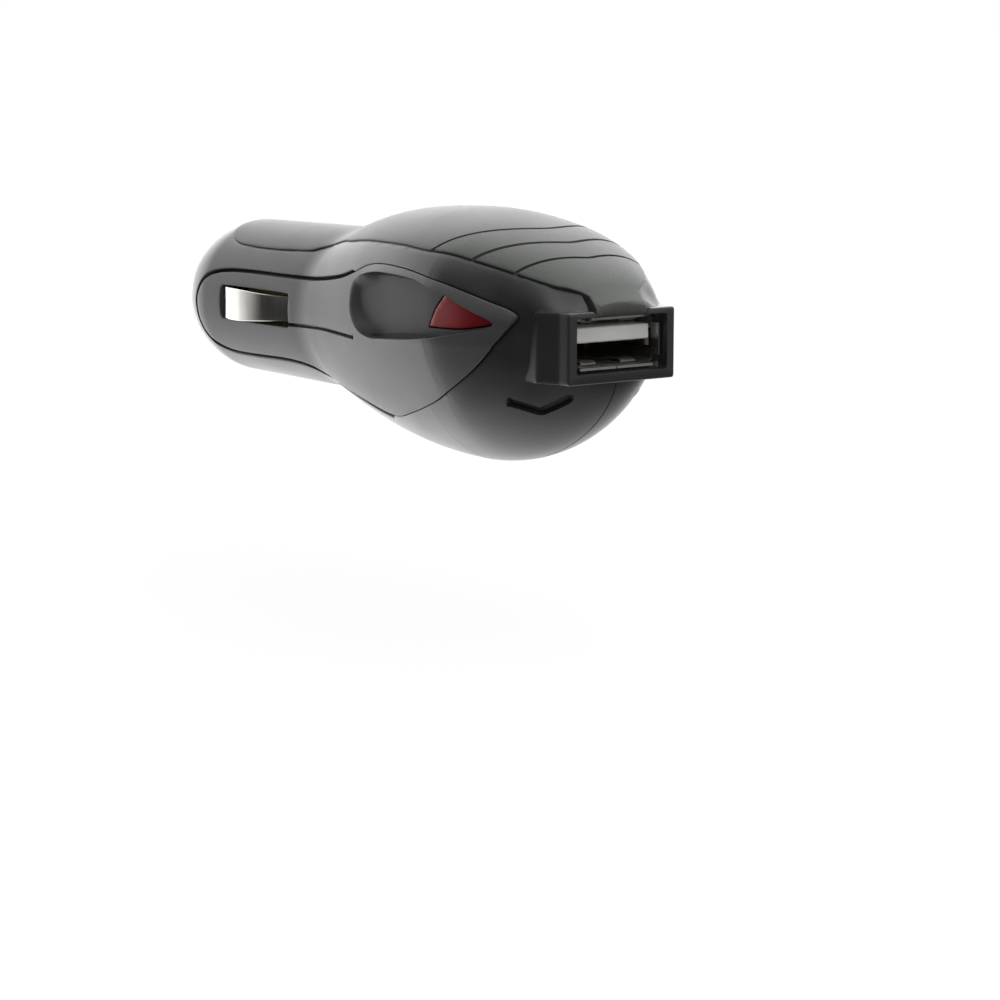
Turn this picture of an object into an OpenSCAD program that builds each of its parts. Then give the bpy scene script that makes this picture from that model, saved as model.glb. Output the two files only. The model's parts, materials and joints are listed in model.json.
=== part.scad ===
// Plug-in car charger with one USB socket in a rounded, animal-like head.
// The barrel lies along Y. Its spring tip points to +Y and the socket faces -Y, with +Z up.
// The origin is on the barrel's axis, in the middle of the plain band that fits the outlet's mouth.
// Places along the plug are given as distances behind the collar's front face.

/* [Barrel] */
// Radius of the plain band of the barrel
barrel_r = 10.4; // [10.2:0.05:10.6]
// Length of the plain band
band_l = 4; // [3.4:0.1:4.6]
// How much the radius falls from the band to the nose, for release from the mould
draft = 0.25; // [0.15:0.05:0.35]
// Length of the barrel from the head to the flat end of the nose
barrel_l = 34.8; // [34.5:0.1:35.3]
// Length of the nose's rounding
nose_l = 10.7; // [10.3:0.1:11.1]

/* [Head] */
// Distance from the collar's face to the plain band
head_l = 50.4; // [50.2:0.1:50.8]
// Half width of the head at its widest
head_half = 15.8; // [15.4:0.1:16.2]
// Height of the head's back above the axis
head_top = 14.3; // [13.9:0.1:14.7]
// Depth of the head's belly below the axis
head_low = 16.3; // [15.8:0.1:16.8]
// Thickness of the housing's wall
wall = 2.2; // [2:0.1:2.4]
// Depth of the pockets that the pad and the side panels lie in
pocket = 1.15; // [1.05:0.05:1.2]
// How far the soft pad stands proud of the housing
pad_proud = 0.18; // [0.1:0.02:0.2]
// Width of the dark joint round the side panels
joint_gap = 0.35; // [0.25:0.05:0.45]

/* [Socket] */
// Width of the collar round the socket
collar_w = 16; // [15.6:0.1:16.6]
// Height of the collar
collar_h = 8.4; // [8.2:0.1:8.8]
// Inner width of the socket's metal shell
usb_w = 12.5; // [12.4:0.05:12.6]
// Inner height of the socket's metal shell
usb_h = 5.12; // [5.08:0.02:5.16]
// Length of the metal shell
usb_l = 14; // [13.5:0.1:14.5]

/* [Contacts] */
// Width of a side contact
leaf_w = 4; // [3.6:0.1:4.2]
// Thickness of the contacts' sheet metal
leaf_t = 0.4; // [0.3:0.05:0.5]
// How far a side contact bulges beyond the plain band
leaf_bulge = 0.9; // [0.7:0.05:1]
// Radius of the spring tip
tip_r = 3; // [2.8:0.05:3.1]
// How far the tip stands out of the nose
tip_out = 5.6; // [5.2:0.1:6]

/* [Inside] */
// Thickness of the circuit board
board_t = 1.6; // [1.5:0.1:1.7]
// Radius of the input capacitor
input_cap_r = 4; // [3.6:0.1:4.1]
// Turns of the tip's spring
spring_turns = 5; // [4:1:6]

/* [Hidden] */

// Outlines and sections are drawn for a head of this length and stretched to the asked length
drawn_head = 50.4;
band_end = drawn_head + band_l;
nose_end = drawn_head + barrel_l;
nose_s = nose_end - nose_l;
front_s = 0.9;
widest_s = 17.7;
belly_s = 22;
crown_s = 25.3;
round_n = 36;
pocket_n = 24;
front_rings = 8;
rear_rings = 7;
seat_gap = 0.05;
parting = 0.04;
sheet = 0.3;
usb_front = 0.6;
board_top = -usb_h / 2 - sheet - 0.02;
board_z = board_top - board_t;
board_head = head_half - wall - 4.2;
board_tail = barrel_r - wall - 2;

function at(s) = (s < drawn_head ? (s / drawn_head - 1) * head_l : s - drawn_head) - band_l / 2;
function sign_power(v, e) = sign(v) * pow(abs(v), e);
function above_zero(v) = (v + sqrt(v * v + 0.002)) / 2;

// The front of the head is a quarter of a soft oval from the collar to the widest place
function front_curve(s, start, full, widest, power) =
  start + (full - start) * pow(1 - pow((widest - s) / (widest - front_s), power), 1 / power);

// Behind it a flank falls to the barrel and meets it in a small fillet
function flank_curve(s, full, widest, foot, power) =
  barrel_r + (full - barrel_r) * above_zero(1 - pow((s - widest) / (foot - widest), power));

function half_width(s) = s < widest_s
  ? front_curve(s, 7.25, head_half, widest_s, 1.27)
  : flank_curve(s, head_half, widest_s, drawn_head - 1, 1.54);
function top_height(s) = s < crown_s
  ? front_curve(s, 4.1, head_top, crown_s, 1.63)
  : flank_curve(s, head_top, crown_s, drawn_head - 1.5, 2.46);
function low_depth(s) = s < belly_s
  ? front_curve(s, 3.6, head_low, belly_s, 1.77)
  : flank_curve(s, head_low, belly_s, drawn_head - 0.7, 2.24);

// 1 in the head, and falling to 0 where the sections become the barrel's circle
function headness(s) = s < widest_s
  ? 1
  : min(1, above_zero(1 - pow((s - widest_s) / (drawn_head - 1 - widest_s), 2)));

// A point of the head's skin, moved in by a depth. The back is a squarish oval, the belly a pointed one.
function skin_point(s, turn, depth) =
  let (
    m = headness(s),
    middle = 0.58 * m,
    upper = turn > 0 && turn < 180,
    side = half_width(s) - depth,
    rise = upper ? top_height(s) - depth - middle : low_depth(s) - depth + middle,
    across = 2 / (upper ? 2 + 0.06 * m : 2 - 0.07 * m),
    upward = 2 / (upper ? 2 + 1.13 * m : 2 - 0.57 * m)
  )
  [side * sign_power(cos(turn), across), at(s), middle + rise * sign_power(sin(turn), upward)];

function rings(first) = concat(
  [for (i = [first:front_rings]) front_s + (crown_s - front_s) * (1 - cos(90 * i / front_rings))],
  [for (i = [1:rear_rings]) crown_s + (drawn_head - crown_s) * i / rear_rings]);

function turned(faces) = [for (f = faces) [for (i = [len(f) - 1:-1:0]) f[i]]];

// A closed solid over rings of n points each
module ring_solid(points, n) {
  count = len(points) / n;
  lids = [[for (k = [0:n - 1]) k], [for (k = [n - 1:-1:0]) (count - 1) * n + k]];
  sides = [for (i = [0:count - 2]) for (k = [0:n - 1])
    let (a = i * n + k, b = i * n + (k + 1) % n)
    each [[a, a + n, b + n], [a, b + n, b]]];
  polyhedron(points, turned(concat(lids, sides)));
}

module head_form(depth, first, n) {
  points = [for (s = rings(first)) for (k = [0:n - 1]) skin_point(s, 360 * k / n, depth)];
  ring_solid(points, n);
}

// Turns a profile of [radius, distance] points about the barrel's axis
module turned_solid(profile) {
  rotate([-90, 0, 0]) rotate_extrude($fn = 96) polygon([for (p = profile) [p[0], at(p[1])]]);
}

function nose_radius(s) =
  (barrel_r - draft) * pow(1 - pow((s - nose_s) / (nose_full - nose_s), nose_power), 1 / nose_power);
nose_full = nose_end + 1.8;
nose_power = 1.7;
nose_steps = 9;

module barrel_form(depth) {
  nose = [for (i = [0:nose_steps])
    let (s = nose_s + (nose_end - nose_s) * sin(90 * i / nose_steps))
    [nose_radius(s) - depth, s]];
  turned_solid(concat([[0, drawn_head], [barrel_r - depth, drawn_head], [barrel_r - depth, band_end]],
    nose, [[0, nose_end]]));
}

module whole_form(depth) {
  head_form(depth, 0, round_n);
  barrel_form(depth);
}

// The floor that the pad and the side panels lie on, in the same coarser rounds on both sides of the seat
module pocket_form(depth) {
  head_form(pocket + depth, 0, pocket_n);
  barrel_form(pocket + depth);
}

// Rounded paths through a few points
function spline_at(p0, p1, p2, p3, t) =
  0.5 * (2 * p1 + (p2 - p0) * t + (2 * p0 - 5 * p1 + 4 * p2 - p3) * t * t
    + (3 * p1 - p0 - 3 * p2 + p3) * t * t * t);
function closed_path(p, steps) = let (n = len(p))
  [for (i = [0:n - 1]) for (j = [0:steps - 1])
    spline_at(p[(i + n - 1) % n], p[i], p[(i + 1) % n], p[(i + 2) % n], j / steps)];
function open_path(p, steps) = let (n = len(p))
  [for (i = [0:n - 2]) for (j = [0:steps - (i == n - 2 ? 0 : 1)])
    spline_at(p[max(0, i - 1)], p[i], p[i + 1], p[min(n - 1, i + 2)], j / steps)];

// Moves an anticlockwise closed path outward by a distance
function grown(path, d) = let (n = len(path))
  [for (i = [0:n - 1])
    let (along = path[(i + 1) % n] - path[(i + n - 1) % n], size = norm(along))
    path[i] + d * [along[1], -along[0]] / size];

// Prisms seen from the side (distance, height) and from above (side, distance)
module side_prism(path, from_x, to_x) {
  translate([from_x, 0, 0]) rotate([90, 0, 90])
    linear_extrude(to_x - from_x) polygon([for (p = path) [at(p[0]), p[1]]]);
}
module plan_prism(path, from_z, to_z) {
  translate([0, 0, from_z])
    linear_extrude(to_z - from_z) polygon([for (p = path) [p[0], at(p[1])]]);
}
module block(x0, x1, s0, s1, z0, z1) {
  translate([x0, at(s0), z0]) cube([x1 - x0, at(s1) - at(s0), z1 - z0]);
}

// How far the skin reaches to the side, up and down at a place along the plug
function reach(s) = s < drawn_head ? half_width(s) : barrel_r;
function rise(s) = s < drawn_head ? top_height(s) : barrel_r;
function drop(s) = s < drawn_head ? low_depth(s) : barrel_r;
// Outlines follow the skin: a height is a share of the rise or the drop, a width a share of the reach
function on_side(p) = [p[0], p[1] * (p[1] > 0 ? rise(p[0]) : drop(p[0]))];
function on_top(p) = [p[0] * reach(p[1]), p[1]];

// Outline of the side panel, from the nose end over the top. It runs straight along the plain band.
panel_points = [[76.9, -0.18], [76.6, 0.06], [74.6, 0.28], [71, 0.375], [65, 0.4], [57, 0.395],
  [49.6, 0.4], [44, 0.39], [39.2, 0.41], [35.4, 0.47], [32.4, 0.525], [28.6, 0.552], [23.2, 0.545],
  [18.3, 0.53], [14.8, 0.51], [11.8, 0.475], [9, 0.435], [6.9, 0.4], [6.1, 0.33], [6.9, 0.19],
  [7.9, 0.06], [9, -0.062], [10.8, -0.19], [13.1, -0.3], [16.4, -0.41],
  [20.4, -0.505], [27.4, -0.638], [33.4, -0.736], [41, -0.726], [46, -0.745], [50.2, -0.7],
  [54.6, -0.69], [58, -0.64], [66, -0.66], [71, -0.654], [74.5, -0.567], [76.2, -0.42]];
// Outline of the recess round the lens
eye_points = [[36, 0.24], [35.2, 0.405], [31, 0.472], [26, 0.482], [20, 0.479], [15, 0.414],
  [11.4, 0.32], [8.4, 0.212], [11.2, 0.104], [14, 0.048], [17, 0.001], [22, -0.037], [27, -0.062],
  [31, -0.076], [34, -0.026], [35.6, 0.087]];
// The three slightly rounded sides of the lens
lens_top = [[17.3, 0.362], [14.4, 0.288], [11, 0.171]];
lens_low = [[11, 0.171], [15.5, 0.074], [19.8, 0.058]];
lens_back = [[19.8, 0.058], [18.8, 0.214], [17.3, 0.362]];
// Half outline of the soft pad from above, nose end first. It too runs straight along the plain band.
pad_points = [[0, 76], [0.327, 75.8], [0.558, 74], [0.663, 71], [0.692, 66], [0.7, 58], [0.64, 54.6],
  [0.63, 50.2], [0.575, 47.5], [0.7, 42.4], [0.78, 33.8], [0.807, 27], [0.815, 20], [0.791, 13.6],
  [0.766, 7.6], [0.714, 4.7], [0.595, 2.8]];
// Floor of the recess from above, from the nose side forward
floor_points = [[1.032, 38], [0.942, 30], [0.896, 24], [0.866, 20], [0.734, 11.3], [0.714, 6.6]];

panel_path = closed_path([for (p = panel_points) on_side(p)], 2);
eye_path = closed_path([for (p = eye_points) on_side(p)], 2);
lens_path = [for (side = [lens_back, lens_top, lens_low])
  for (i = [0:5]) open_path([for (p = side) on_side(p)], 3)[i]];
tab_half = 4.1;
tab_root = 1.8;

function pad_path(grow) = let (
    half = open_path(concat([for (p = pad_points) on_top(p)], [[tab_half, tab_root]]), 2),
    n = len(half),
    wide = [for (i = [0:n - 1])
      let (along = half[min(n - 1, i + 1)] - half[max(0, i - 1)], size = norm(along))
      i == 0 ? [0, half[0][1] + grow] : half[i] + grow * [-along[1], along[0]] / size]
  )
  concat(wide, [[tab_half + grow, -1], [-tab_half - grow, -1]],
    [for (i = [n - 1:-1:1]) [-wide[i][0], wide[i][1]]]);

// The right side is built for both halves, and the left is its mirror image
module both(left) {
  scale([left ? -1 : 1, 1, 1]) children();
}

slot_front = 54.2;
slot_end = 70.6;
slot_half = leaf_w / 2 + 0.25;
chamber_r = 4.2;
tip_stop = nose_end - 2.2;
collar_depth = 6;
collar_z = -0.4;
collar_root = 4.4;

module hollow() {
  head_form(wall, 3, 20);
  turned_solid([[0, drawn_head], [barrel_r - wall, drawn_head], [barrel_r - wall, nose_end - 12.5],
    [chamber_r, nose_end - 10], [chamber_r, tip_stop], [tip_r + seat_gap, tip_stop],
    [tip_r + seat_gap, nose_full], [0, nose_full]]);
}

module usb_opening() {
  half = usb_w / 2 + sheet + seat_gap;
  block(-half, half, -1, 20, -usb_h / 2 - sheet - seat_gap, usb_h / 2 + sheet + seat_gap);
}

module half_shell(left) {
  color([0.16, 0.17, 0.17]) both(left) difference() {
    union() {
      difference() {
        union() {
          whole_form(0);
          collar_form();
        }
        hollow();
        pockets();
      }
      block(0, collar_w / 2, 0.5, collar_depth, collar_z - collar_h / 2, collar_z + collar_h / 2 - 1.2);
      inner_bosses();
    }
    usb_opening();
    chin_groove();
    block(-20, parting, -5, 100, -30, 30);
    block(0, tab_half + 0.25, -1, 3.6, usb_h / 2, 20);
  }
}

// A V-shaped groove under the collar's lower corner, drawn from the front as [side, height]
module chin_groove() {
  difference() {
    translate([0, at(14), 0]) rotate([90, 0, 0]) linear_extrude(14)
      polygon([[9.9, -6.8], [6.5, -8.2], [5.5, -6.6], [4.8, -7.1], [6.3, -9.3], [10, -7.6]]);
    head_form(0.4, 0, round_n);
  }
}

// The collar, whose side spreads where it joins the head
module collar_form() {
  plan_prism([[0, 0], [collar_w / 2, 0], [collar_w / 2 + 0.2, 1.6], [9.3, collar_root], [9.3, 9], [0, 9]],
    collar_z - collar_h / 2, collar_z + collar_h / 2);
}

// Bosses that meet on the parting plane, and ribs that carry the circuit board
module inner_bosses() {
  for (p = [[22, -0.66 * head_low, 0.34], [39, 0.6 * head_top, 0.4]])
    translate([0, at(p[0]), p[1]]) rotate([0, 90, 0]) cylinder(r = 1.9, h = p[2] * head_half, $fn = 32);
  block(board_head - 1.8, 0.77 * head_half, 18, 22, board_z - 1.4, board_z);
  block(board_head - 1.8, 0.7 * head_half, 28, 32, board_z - 1.4, board_z);
  for (s = [51, 66])
    block(board_tail - 1, board_tail + 0.66, s, s + 4, board_z - 1.2, board_z);
}

// Shallow pockets for the pad and a side panel, and the openings under the recess and the contact
module pockets() {
  outline = grown(panel_path, joint_gap);
  difference() {
    union() {
      plan_prism(pad_path(0.12), 3, 30);
      side_prism(outline, 4, 30);
    }
    pocket_form(seat_gap);
  }
  intersection() {
    side_prism(outline, 4, 30);
    side_prism(grown(eye_path, 1.3), 4, 30);
  }
  block(5, 30, slot_front - 0.4, slot_end + 0.4, -slot_half, slot_half);
}

module left_shell() half_shell(true);
module right_shell() half_shell(false);

// Three V-shaped grooves that point to the front
module pad_grooves() {
  difference() {
    union() {
      for (g = [[13.5, 7.2, 13.5, 0.95], [9, 5.2, 13.5, 0.75], [5, 3.6, 11, 0.5]])
        plan_prism(chevron(g[0], g[1], g[2], g[3], 0.22), 0, 30);
    }
    whole_form(0.22);
  }
}
chevron_n = 8;
function chevron(middle, rise, reach, power, half) = let (
    line = [for (i = [-chevron_n:chevron_n])
      let (x = reach * i / chevron_n)
      [x, middle + rise * pow(abs(x) / reach, power)]]
  )
  concat([for (p = line) [p[0], p[1] - half]],
    [for (i = [2 * chevron_n:-1:0]) [line[i][0], line[i][1] + half]]);

module top_pad() {
  color([0.2, 0.21, 0.2]) difference() {
    union() {
      intersection() {
        plan_prism(pad_path(0), 3, 30);
        difference() {
          whole_form(-pad_proud);
          pocket_form(0);
        }
        block(-30, 30, 1.6, 90, 0, 30);
      }
      side_prism([[3.4, 8], [1.8, 6.4], [0.8, 5.2], [0.35, 4.4], [0.35, usb_h / 2 + sheet + 0.3],
        [2.5, usb_h / 2 + sheet + 0.3], [3.4, 5.8]], -tab_half, tab_half);
    }
    pad_grooves();
  }
}

lens_t = 1.3;
module eye_floor(depth) {
  path = concat([for (p = floor_points) on_top(p) - [depth, 0]], [[30, 6.6], [30, 38]]);
  plan_prism(path, -20, 20);
}

module side_panel(left) {
  color([0.3, 0.31, 0.31]) both(left) difference() {
    intersection() {
      whole_form(0);
      side_prism(panel_path, 4, 30);
    }
    difference() {
      pocket_form(0);
      intersection() {
        side_prism(grown(eye_path, 1.1), 4, 30);
        eye_floor(lens_t);
      }
    }
    intersection() {
      side_prism(eye_path, 4, 30);
      eye_floor(0);
    }
    side_prism(grown(lens_path, seat_gap), 4, 30);
    block(5, 30, slot_front, slot_end, -slot_half, slot_half);
    panel_slit();
  }
}

// The fine slit from the contact's slot to the recess
module panel_slit() {
  side_prism([[slot_front + 0.2, -1.9], [45, -1.55], [35.4, -1.75], [35.4, -1.3], [45, -1.1],
    [slot_front + 0.2, -1.45]], 5, 30);
}

module left_side_panel() side_panel(true);
module right_side_panel() side_panel(false);

module eye_lens(left) {
  color([0.75, 0.12, 0.13]) both(left) intersection() {
    side_prism(lens_path, 4, 30);
    difference() {
      eye_floor(lens_t);
      eye_floor(0);
    }
  }
}
module left_eye_lens() eye_lens(true);
module right_eye_lens() eye_lens(false);

// A sprung leaf: root under the wall, slope out of the slot, bulge, and a free end that turns in
leaf_root = barrel_r - wall - 0.75;
leaf_peak = barrel_r + leaf_bulge;
leaf_points = [[leaf_root, 48.5], [leaf_root, 51.5], [leaf_root + 0.05, 54.3], [leaf_root + 1.5, 56.6],
  [leaf_peak - 0.7, 59.6], [leaf_peak - 0.05, 63.4], [leaf_peak - 0.25, 66.9],
  [leaf_peak - 1.2, 69.4], [leaf_peak - 2.6, 70.1]];
module ground_contact(left) {
  line = open_path(leaf_points, 3);
  n = len(line);
  inner = [for (i = [n - 1:-1:0])
    let (along = line[min(n - 1, i + 1)] - line[max(0, i - 1)], size = norm(along))
    line[i] + leaf_t * [-along[1], along[0]] / size];
  color([0.8, 0.8, 0.78]) both(left) {
    plan_prism(concat(line, inner), -leaf_w / 2, leaf_w / 2);
    block(leaf_root - leaf_t, leaf_root, 49, 51.5, board_top + 0.35, 0);
  }
}
module left_ground_contact() ground_contact(true);
module right_ground_contact() ground_contact(false);

flange_r = chamber_r - 0.3;
flange_back = tip_stop - 1.3;
module tip_contact() {
  tip_end = nose_end + tip_out;
  dome = [for (i = [0:6]) [tip_r * cos(15 * i), tip_end - 2 + 2 * sin(15 * i)]];
  color([0.82, 0.82, 0.8]) turned_solid(concat(
    [[0, flange_back - 2], [1.4, flange_back - 2], [1.4, flange_back], [flange_r, flange_back],
      [flange_r, tip_stop - 0.1], [tip_r, tip_stop - 0.1]],
    dome));
}

spring_r = 2.6;
wire_r = 0.35;
spring_from = nose_end - 11.1;
spring_sides = 6;
spring_segments = 12;
module tip_spring() {
  length = flange_back - 0.05 - wire_r - (spring_from + 0.05 + wire_r);
  steps = spring_turns * spring_segments;
  points = [for (i = [0:steps]) for (k = [0:spring_sides - 1])
    let (a = 360 * i / spring_segments, b = 360 * k / spring_sides,
      r = spring_r + wire_r * cos(b))
    [r * cos(a), at(spring_from + 0.05 + wire_r + length * i / steps) + wire_r * sin(b), r * sin(a)]];
  color([0.72, 0.72, 0.7]) ring_solid(points, spring_sides);
}

module spring_seat() {
  color([0.78, 0.66, 0.36]) {
    turned_solid([[0, spring_from - 0.6], [3.9, spring_from - 0.6], [3.9, spring_from],
      [1.6, spring_from], [1.6, spring_from + 1.2], [0, spring_from + 1.2]]);
    block(-1.5, 1.5, spring_from - 5.4, spring_from - 0.3, board_top, board_top + 0.4);
    block(-1.5, 1.5, spring_from - 0.6, spring_from - 0.2, board_top, 0);
  }
}

board_end = spring_from - 2.4;
module circuit_board() {
  half = [[board_head - 2.4, 6.4], [board_head, 14], [board_head, 37], [board_tail, 45], [board_tail, board_end]];
  color([0.1, 0.32, 0.18])
    plan_prism(concat(half, [for (i = [len(half) - 1:-1:0]) [-half[i][0], half[i][1]]]), board_z, board_top);
}

module usb_shell() {
  w = usb_w / 2;
  h = usb_h / 2;
  color([0.75, 0.75, 0.74]) difference() {
    block(-w - sheet, w + sheet, usb_front, usb_front + usb_l, -h - sheet, h + sheet);
    block(-w, w, usb_front - 1, usb_front + usb_l + 1, -h, h);
    block(-0.08, 0.08, usb_front - 1, usb_front + usb_l + 1, -h - 1, -h + 0.1);
    for (x = [-3.4, 3.4])
      for (z = [-h - sheet / 2, h + sheet / 2])
        finger_cut(x, z);
  }
}

// The U-shaped cut round one spring finger of the metal shell
module finger_cut(x, z) {
  half = 1.2;
  cut = 0.3;
  for (side = [-half - cut, half])
    block(x + side, x + side + cut, 3.2, 9.4, z - 1, z + 1);
  block(x - half - cut, x + half + cut, 3.2, 3.2 + cut, z - 1, z + 1);
}

tongue_low = 0.2;
tongue_t = 1.84;
tongue_half = 5.55;
tongue_back = 12.2;
module usb_tongue() {
  w = usb_w / 2 - 0.05;
  h = usb_h / 2 - 0.05;
  color([0.86, 0.86, 0.84]) {
    block(-tongue_half, tongue_half, 1.9, tongue_back + 0.5, tongue_low, tongue_low + tongue_t);
    block(-w, w, tongue_back, usb_front + usb_l - 0.3, -h, h);
  }
}

module usb_pins() {
  color([0.85, 0.72, 0.35])
    for (x = [-3.5, -1, 1, 3.5])
      block(x - 0.5, x + 0.5, 2.6, tongue_back, tongue_low - 0.3, tongue_low);
}

module inductor_core() {
  color([0.22, 0.21, 0.21]) translate([0, at(28), board_top]) {
    cylinder(r = 4.2, h = 1, $fn = 48);
    cylinder(r = 2, h = 5, $fn = 48);
    translate([0, 0, 4.6]) cylinder(r = 4.2, h = 1, $fn = 48);
  }
}
module inductor_winding() {
  color([0.7, 0.4, 0.2]) translate([0, at(28), board_top + 1]) difference() {
    cylinder(r = 3.7, h = 3.6, $fn = 48);
    translate([0, 0, -1]) cylinder(r = 2, h = 6, $fn = 48);
  }
}

module can(r, h) {
  rotate_extrude($fn = 48) polygon([[0, 0], [r, 0], [r, 1.2], [r - 0.3, 1.5], [r, 1.8], [r, h - 0.3],
    [r - 0.3, h], [0, h]]);
}
module input_capacitor() {
  color([0.12, 0.13, 0.2])
    translate([0, at(49), board_top + input_cap_r]) rotate([-90, 0, 0]) can(input_cap_r, 12);
}
module output_capacitor() {
  color([0.12, 0.13, 0.2]) translate([0, at(19.2), board_top]) can(3.15, 8);
}

module regulator_chip() {
  color([0.1, 0.1, 0.1]) {
    block(-2, 2, 35, 39.9, board_top + 0.15, board_top + 1.6);
    for (s = [35.5, 36.8, 38.1, 39.4])
      for (x = [-3, 2])
        block(x, x + 1, s - 0.2, s + 0.2, board_top, board_top + 0.4);
  }
}
module rectifier_diode() {
  color([0.1, 0.1, 0.1]) block(-6.4, -4, 31, 35.3, board_top, board_top + 2.1);
}
module chips(places, height) {
  for (p = places)
    block(p[0] - 0.6, p[0] + 0.6, p[1] - 1, p[1] + 1, board_top, board_top + height);
}
module chip_resistors() {
  color([0.15, 0.15, 0.16]) chips([[6, 24], [6, 28], [6, 32], [-6, 24]], 0.5);
}
module chip_capacitors() {
  color([0.62, 0.5, 0.36]) chips([[4.6, 36.5], [-6, 28], [4.4, 42], [-4.4, 42]], 0.9);
}

// A small lamp behind the lens, lying outward on its two legs
led_s = 16.6;
led_l = 4.1;
module led(left) {
  base = 0.78 * reach(led_s) - lens_t - 1 - led_l;
  color([0.8, 0.3, 0.3]) both(left) translate([base, at(led_s), 2.4]) {
    rotate([0, 90, 0]) rotate_extrude($fn = 32)
      polygon([[0, 0], [1.75, 0], [1.75, 0.8], [1.5, 0.8], [1.5, 2.6], [1.2, 3.5], [0.6, 4], [0, led_l]]);
    for (y = [-1.27, 0.77])
      translate([-0.5, y, board_top - 2.4]) cube([0.5, 0.5, 2.4 - board_top + 0.25]);
  }
}
module left_led() led(true);
module right_led() led(false);

// The wire from the spring's seat to the board
module tip_lead() {
  color([0.7, 0.1, 0.1]) {
    translate([3.4, at(board_end) - 8, board_top + 0.6]) rotate([-90, 0, 0]) cylinder(r = 0.6, h = 7, $fn = 24);
    translate([3.4, at(board_end) - 7.4, board_top]) cylinder(r = 0.45, h = 1.2, $fn = 24);
  }
}

left_shell();
right_shell();
top_pad();
left_side_panel();
right_side_panel();
left_eye_lens();
right_eye_lens();
left_ground_contact();
right_ground_contact();
tip_contact();
tip_spring();
spring_seat();
circuit_board();
usb_shell();
usb_tongue();
usb_pins();
inductor_core();
inductor_winding();
input_capacitor();
output_capacitor();
regulator_chip();
rectifier_diode();
chip_resistors();
chip_capacitors();
left_led();
right_led();
tip_lead();
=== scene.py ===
# %% [markdown]
# # A car charger with a rounded head
# The object is a plug for a car's 12 V outlet. A grey barrel with a sprung tip goes into the outlet,
# and a rounded head outside it holds one USB socket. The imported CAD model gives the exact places,
# and this lesson builds the moulded skin, the set-in pad and panels, and the finishes on top of it.

# %% Open the fixed frame
import json
import math
import bpy
import numpy as np
from mathutils import Matrix, Vector, geometry, kdtree


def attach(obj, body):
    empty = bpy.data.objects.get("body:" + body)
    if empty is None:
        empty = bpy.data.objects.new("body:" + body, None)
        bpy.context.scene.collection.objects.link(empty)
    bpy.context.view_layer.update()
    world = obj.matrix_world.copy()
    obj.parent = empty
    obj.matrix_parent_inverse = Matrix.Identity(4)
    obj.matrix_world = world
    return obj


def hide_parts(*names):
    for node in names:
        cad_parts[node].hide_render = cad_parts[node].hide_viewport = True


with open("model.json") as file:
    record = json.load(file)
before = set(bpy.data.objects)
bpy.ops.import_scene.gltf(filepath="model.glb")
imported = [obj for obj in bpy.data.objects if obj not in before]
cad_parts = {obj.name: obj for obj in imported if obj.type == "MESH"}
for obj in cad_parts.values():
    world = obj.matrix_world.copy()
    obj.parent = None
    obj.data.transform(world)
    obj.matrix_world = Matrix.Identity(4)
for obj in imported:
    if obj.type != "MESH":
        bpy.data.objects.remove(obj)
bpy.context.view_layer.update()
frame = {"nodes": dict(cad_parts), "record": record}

print("nodes in the frame:", len(frame["nodes"]))

# %% [markdown]
# ## The skin as one formula
# The real housing is one flowing surface that is cut into a housing, a pad and two side panels. It could
# be sculpted piece by piece, but then the pieces wouldn't line up. Here one formula gives a point of the
# skin for a distance behind the collar's face and an angle round the plug, so every piece shares it.
# All lengths are in millimetres until the mesh is made.

# %% Sizes of the skin
MM = 0.001
BARREL_R, HEAD_L, BAND_L, DRAFT = 10.4, 50.4, 4.0, 0.25
BAND_END = HEAD_L + BAND_L
ORIGIN_S = HEAD_L + BAND_L / 2
NOSE_S, NOSE_END, NOSE_FULL, NOSE_POWER = 74.5, 85.2, 87.0, 1.7
HEAD_HALF, HEAD_TOP, HEAD_LOW = 15.8, 14.3, 16.3
FRONT_HALF, FRONT_TOP, FRONT_LOW = 7.25, 4.1, 3.6
WIDEST_S, CROWN_S, BELLY_S, FRONT_S = 17.7, 25.3, 22.0, 0.9
FILLET_END, FILLET_L, MIDDLE_Z = 53.0, 5, 0.58
print("the head is", 2 * HEAD_HALF, "mm wide and", round(HEAD_TOP + HEAD_LOW, 1), "mm high")

# %% Reach to the side, rise and drop along the plug
SOFT_WIDE = 1.7
SOFT_SHARE = (WIDEST_S - FRONT_S) / (math.hypot(WIDEST_S - FRONT_S, SOFT_WIDE) - SOFT_WIDE)


def smooth(t):
    """Goes softly from 0 to 1."""
    t = np.clip(t, 0, 1)
    return t * t * (3 - 2 * t)


def columns(*parts):
    """Numbers and arrays side by side as one array."""
    return np.stack(np.broadcast_arrays(*parts), 1)


def unit(v):
    return v / np.maximum(np.linalg.norm(v, axis=1, keepdims=True), 1e-9)


def above_zero(v, soft=0.03):
    return (v + np.sqrt(v * v + soft)) / 2


def front_curve(s, start, full, widest, power):
    share = np.clip((widest - s) / (widest - FRONT_S), 0, 1)
    return start + (full - start) * (1 - share ** power) ** (1 / power)


def flank_curve(s, full, widest, foot, power):
    rest = above_zero(1 - np.clip((s - widest) / (foot - widest), 0, None) ** power)
    return BARREL_R + (full - BARREL_R) * rest * smooth((FILLET_END - s) / FILLET_L)


def barrel_radius(s):
    plain = BARREL_R - DRAFT * np.clip((s - BAND_END) / (NOSE_S - BAND_END), 0, 1)
    share = np.clip((s - NOSE_S) / (NOSE_FULL - NOSE_S), 0, 1)
    return plain * (1 - share ** NOSE_POWER) ** (1 / NOSE_POWER)


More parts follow.
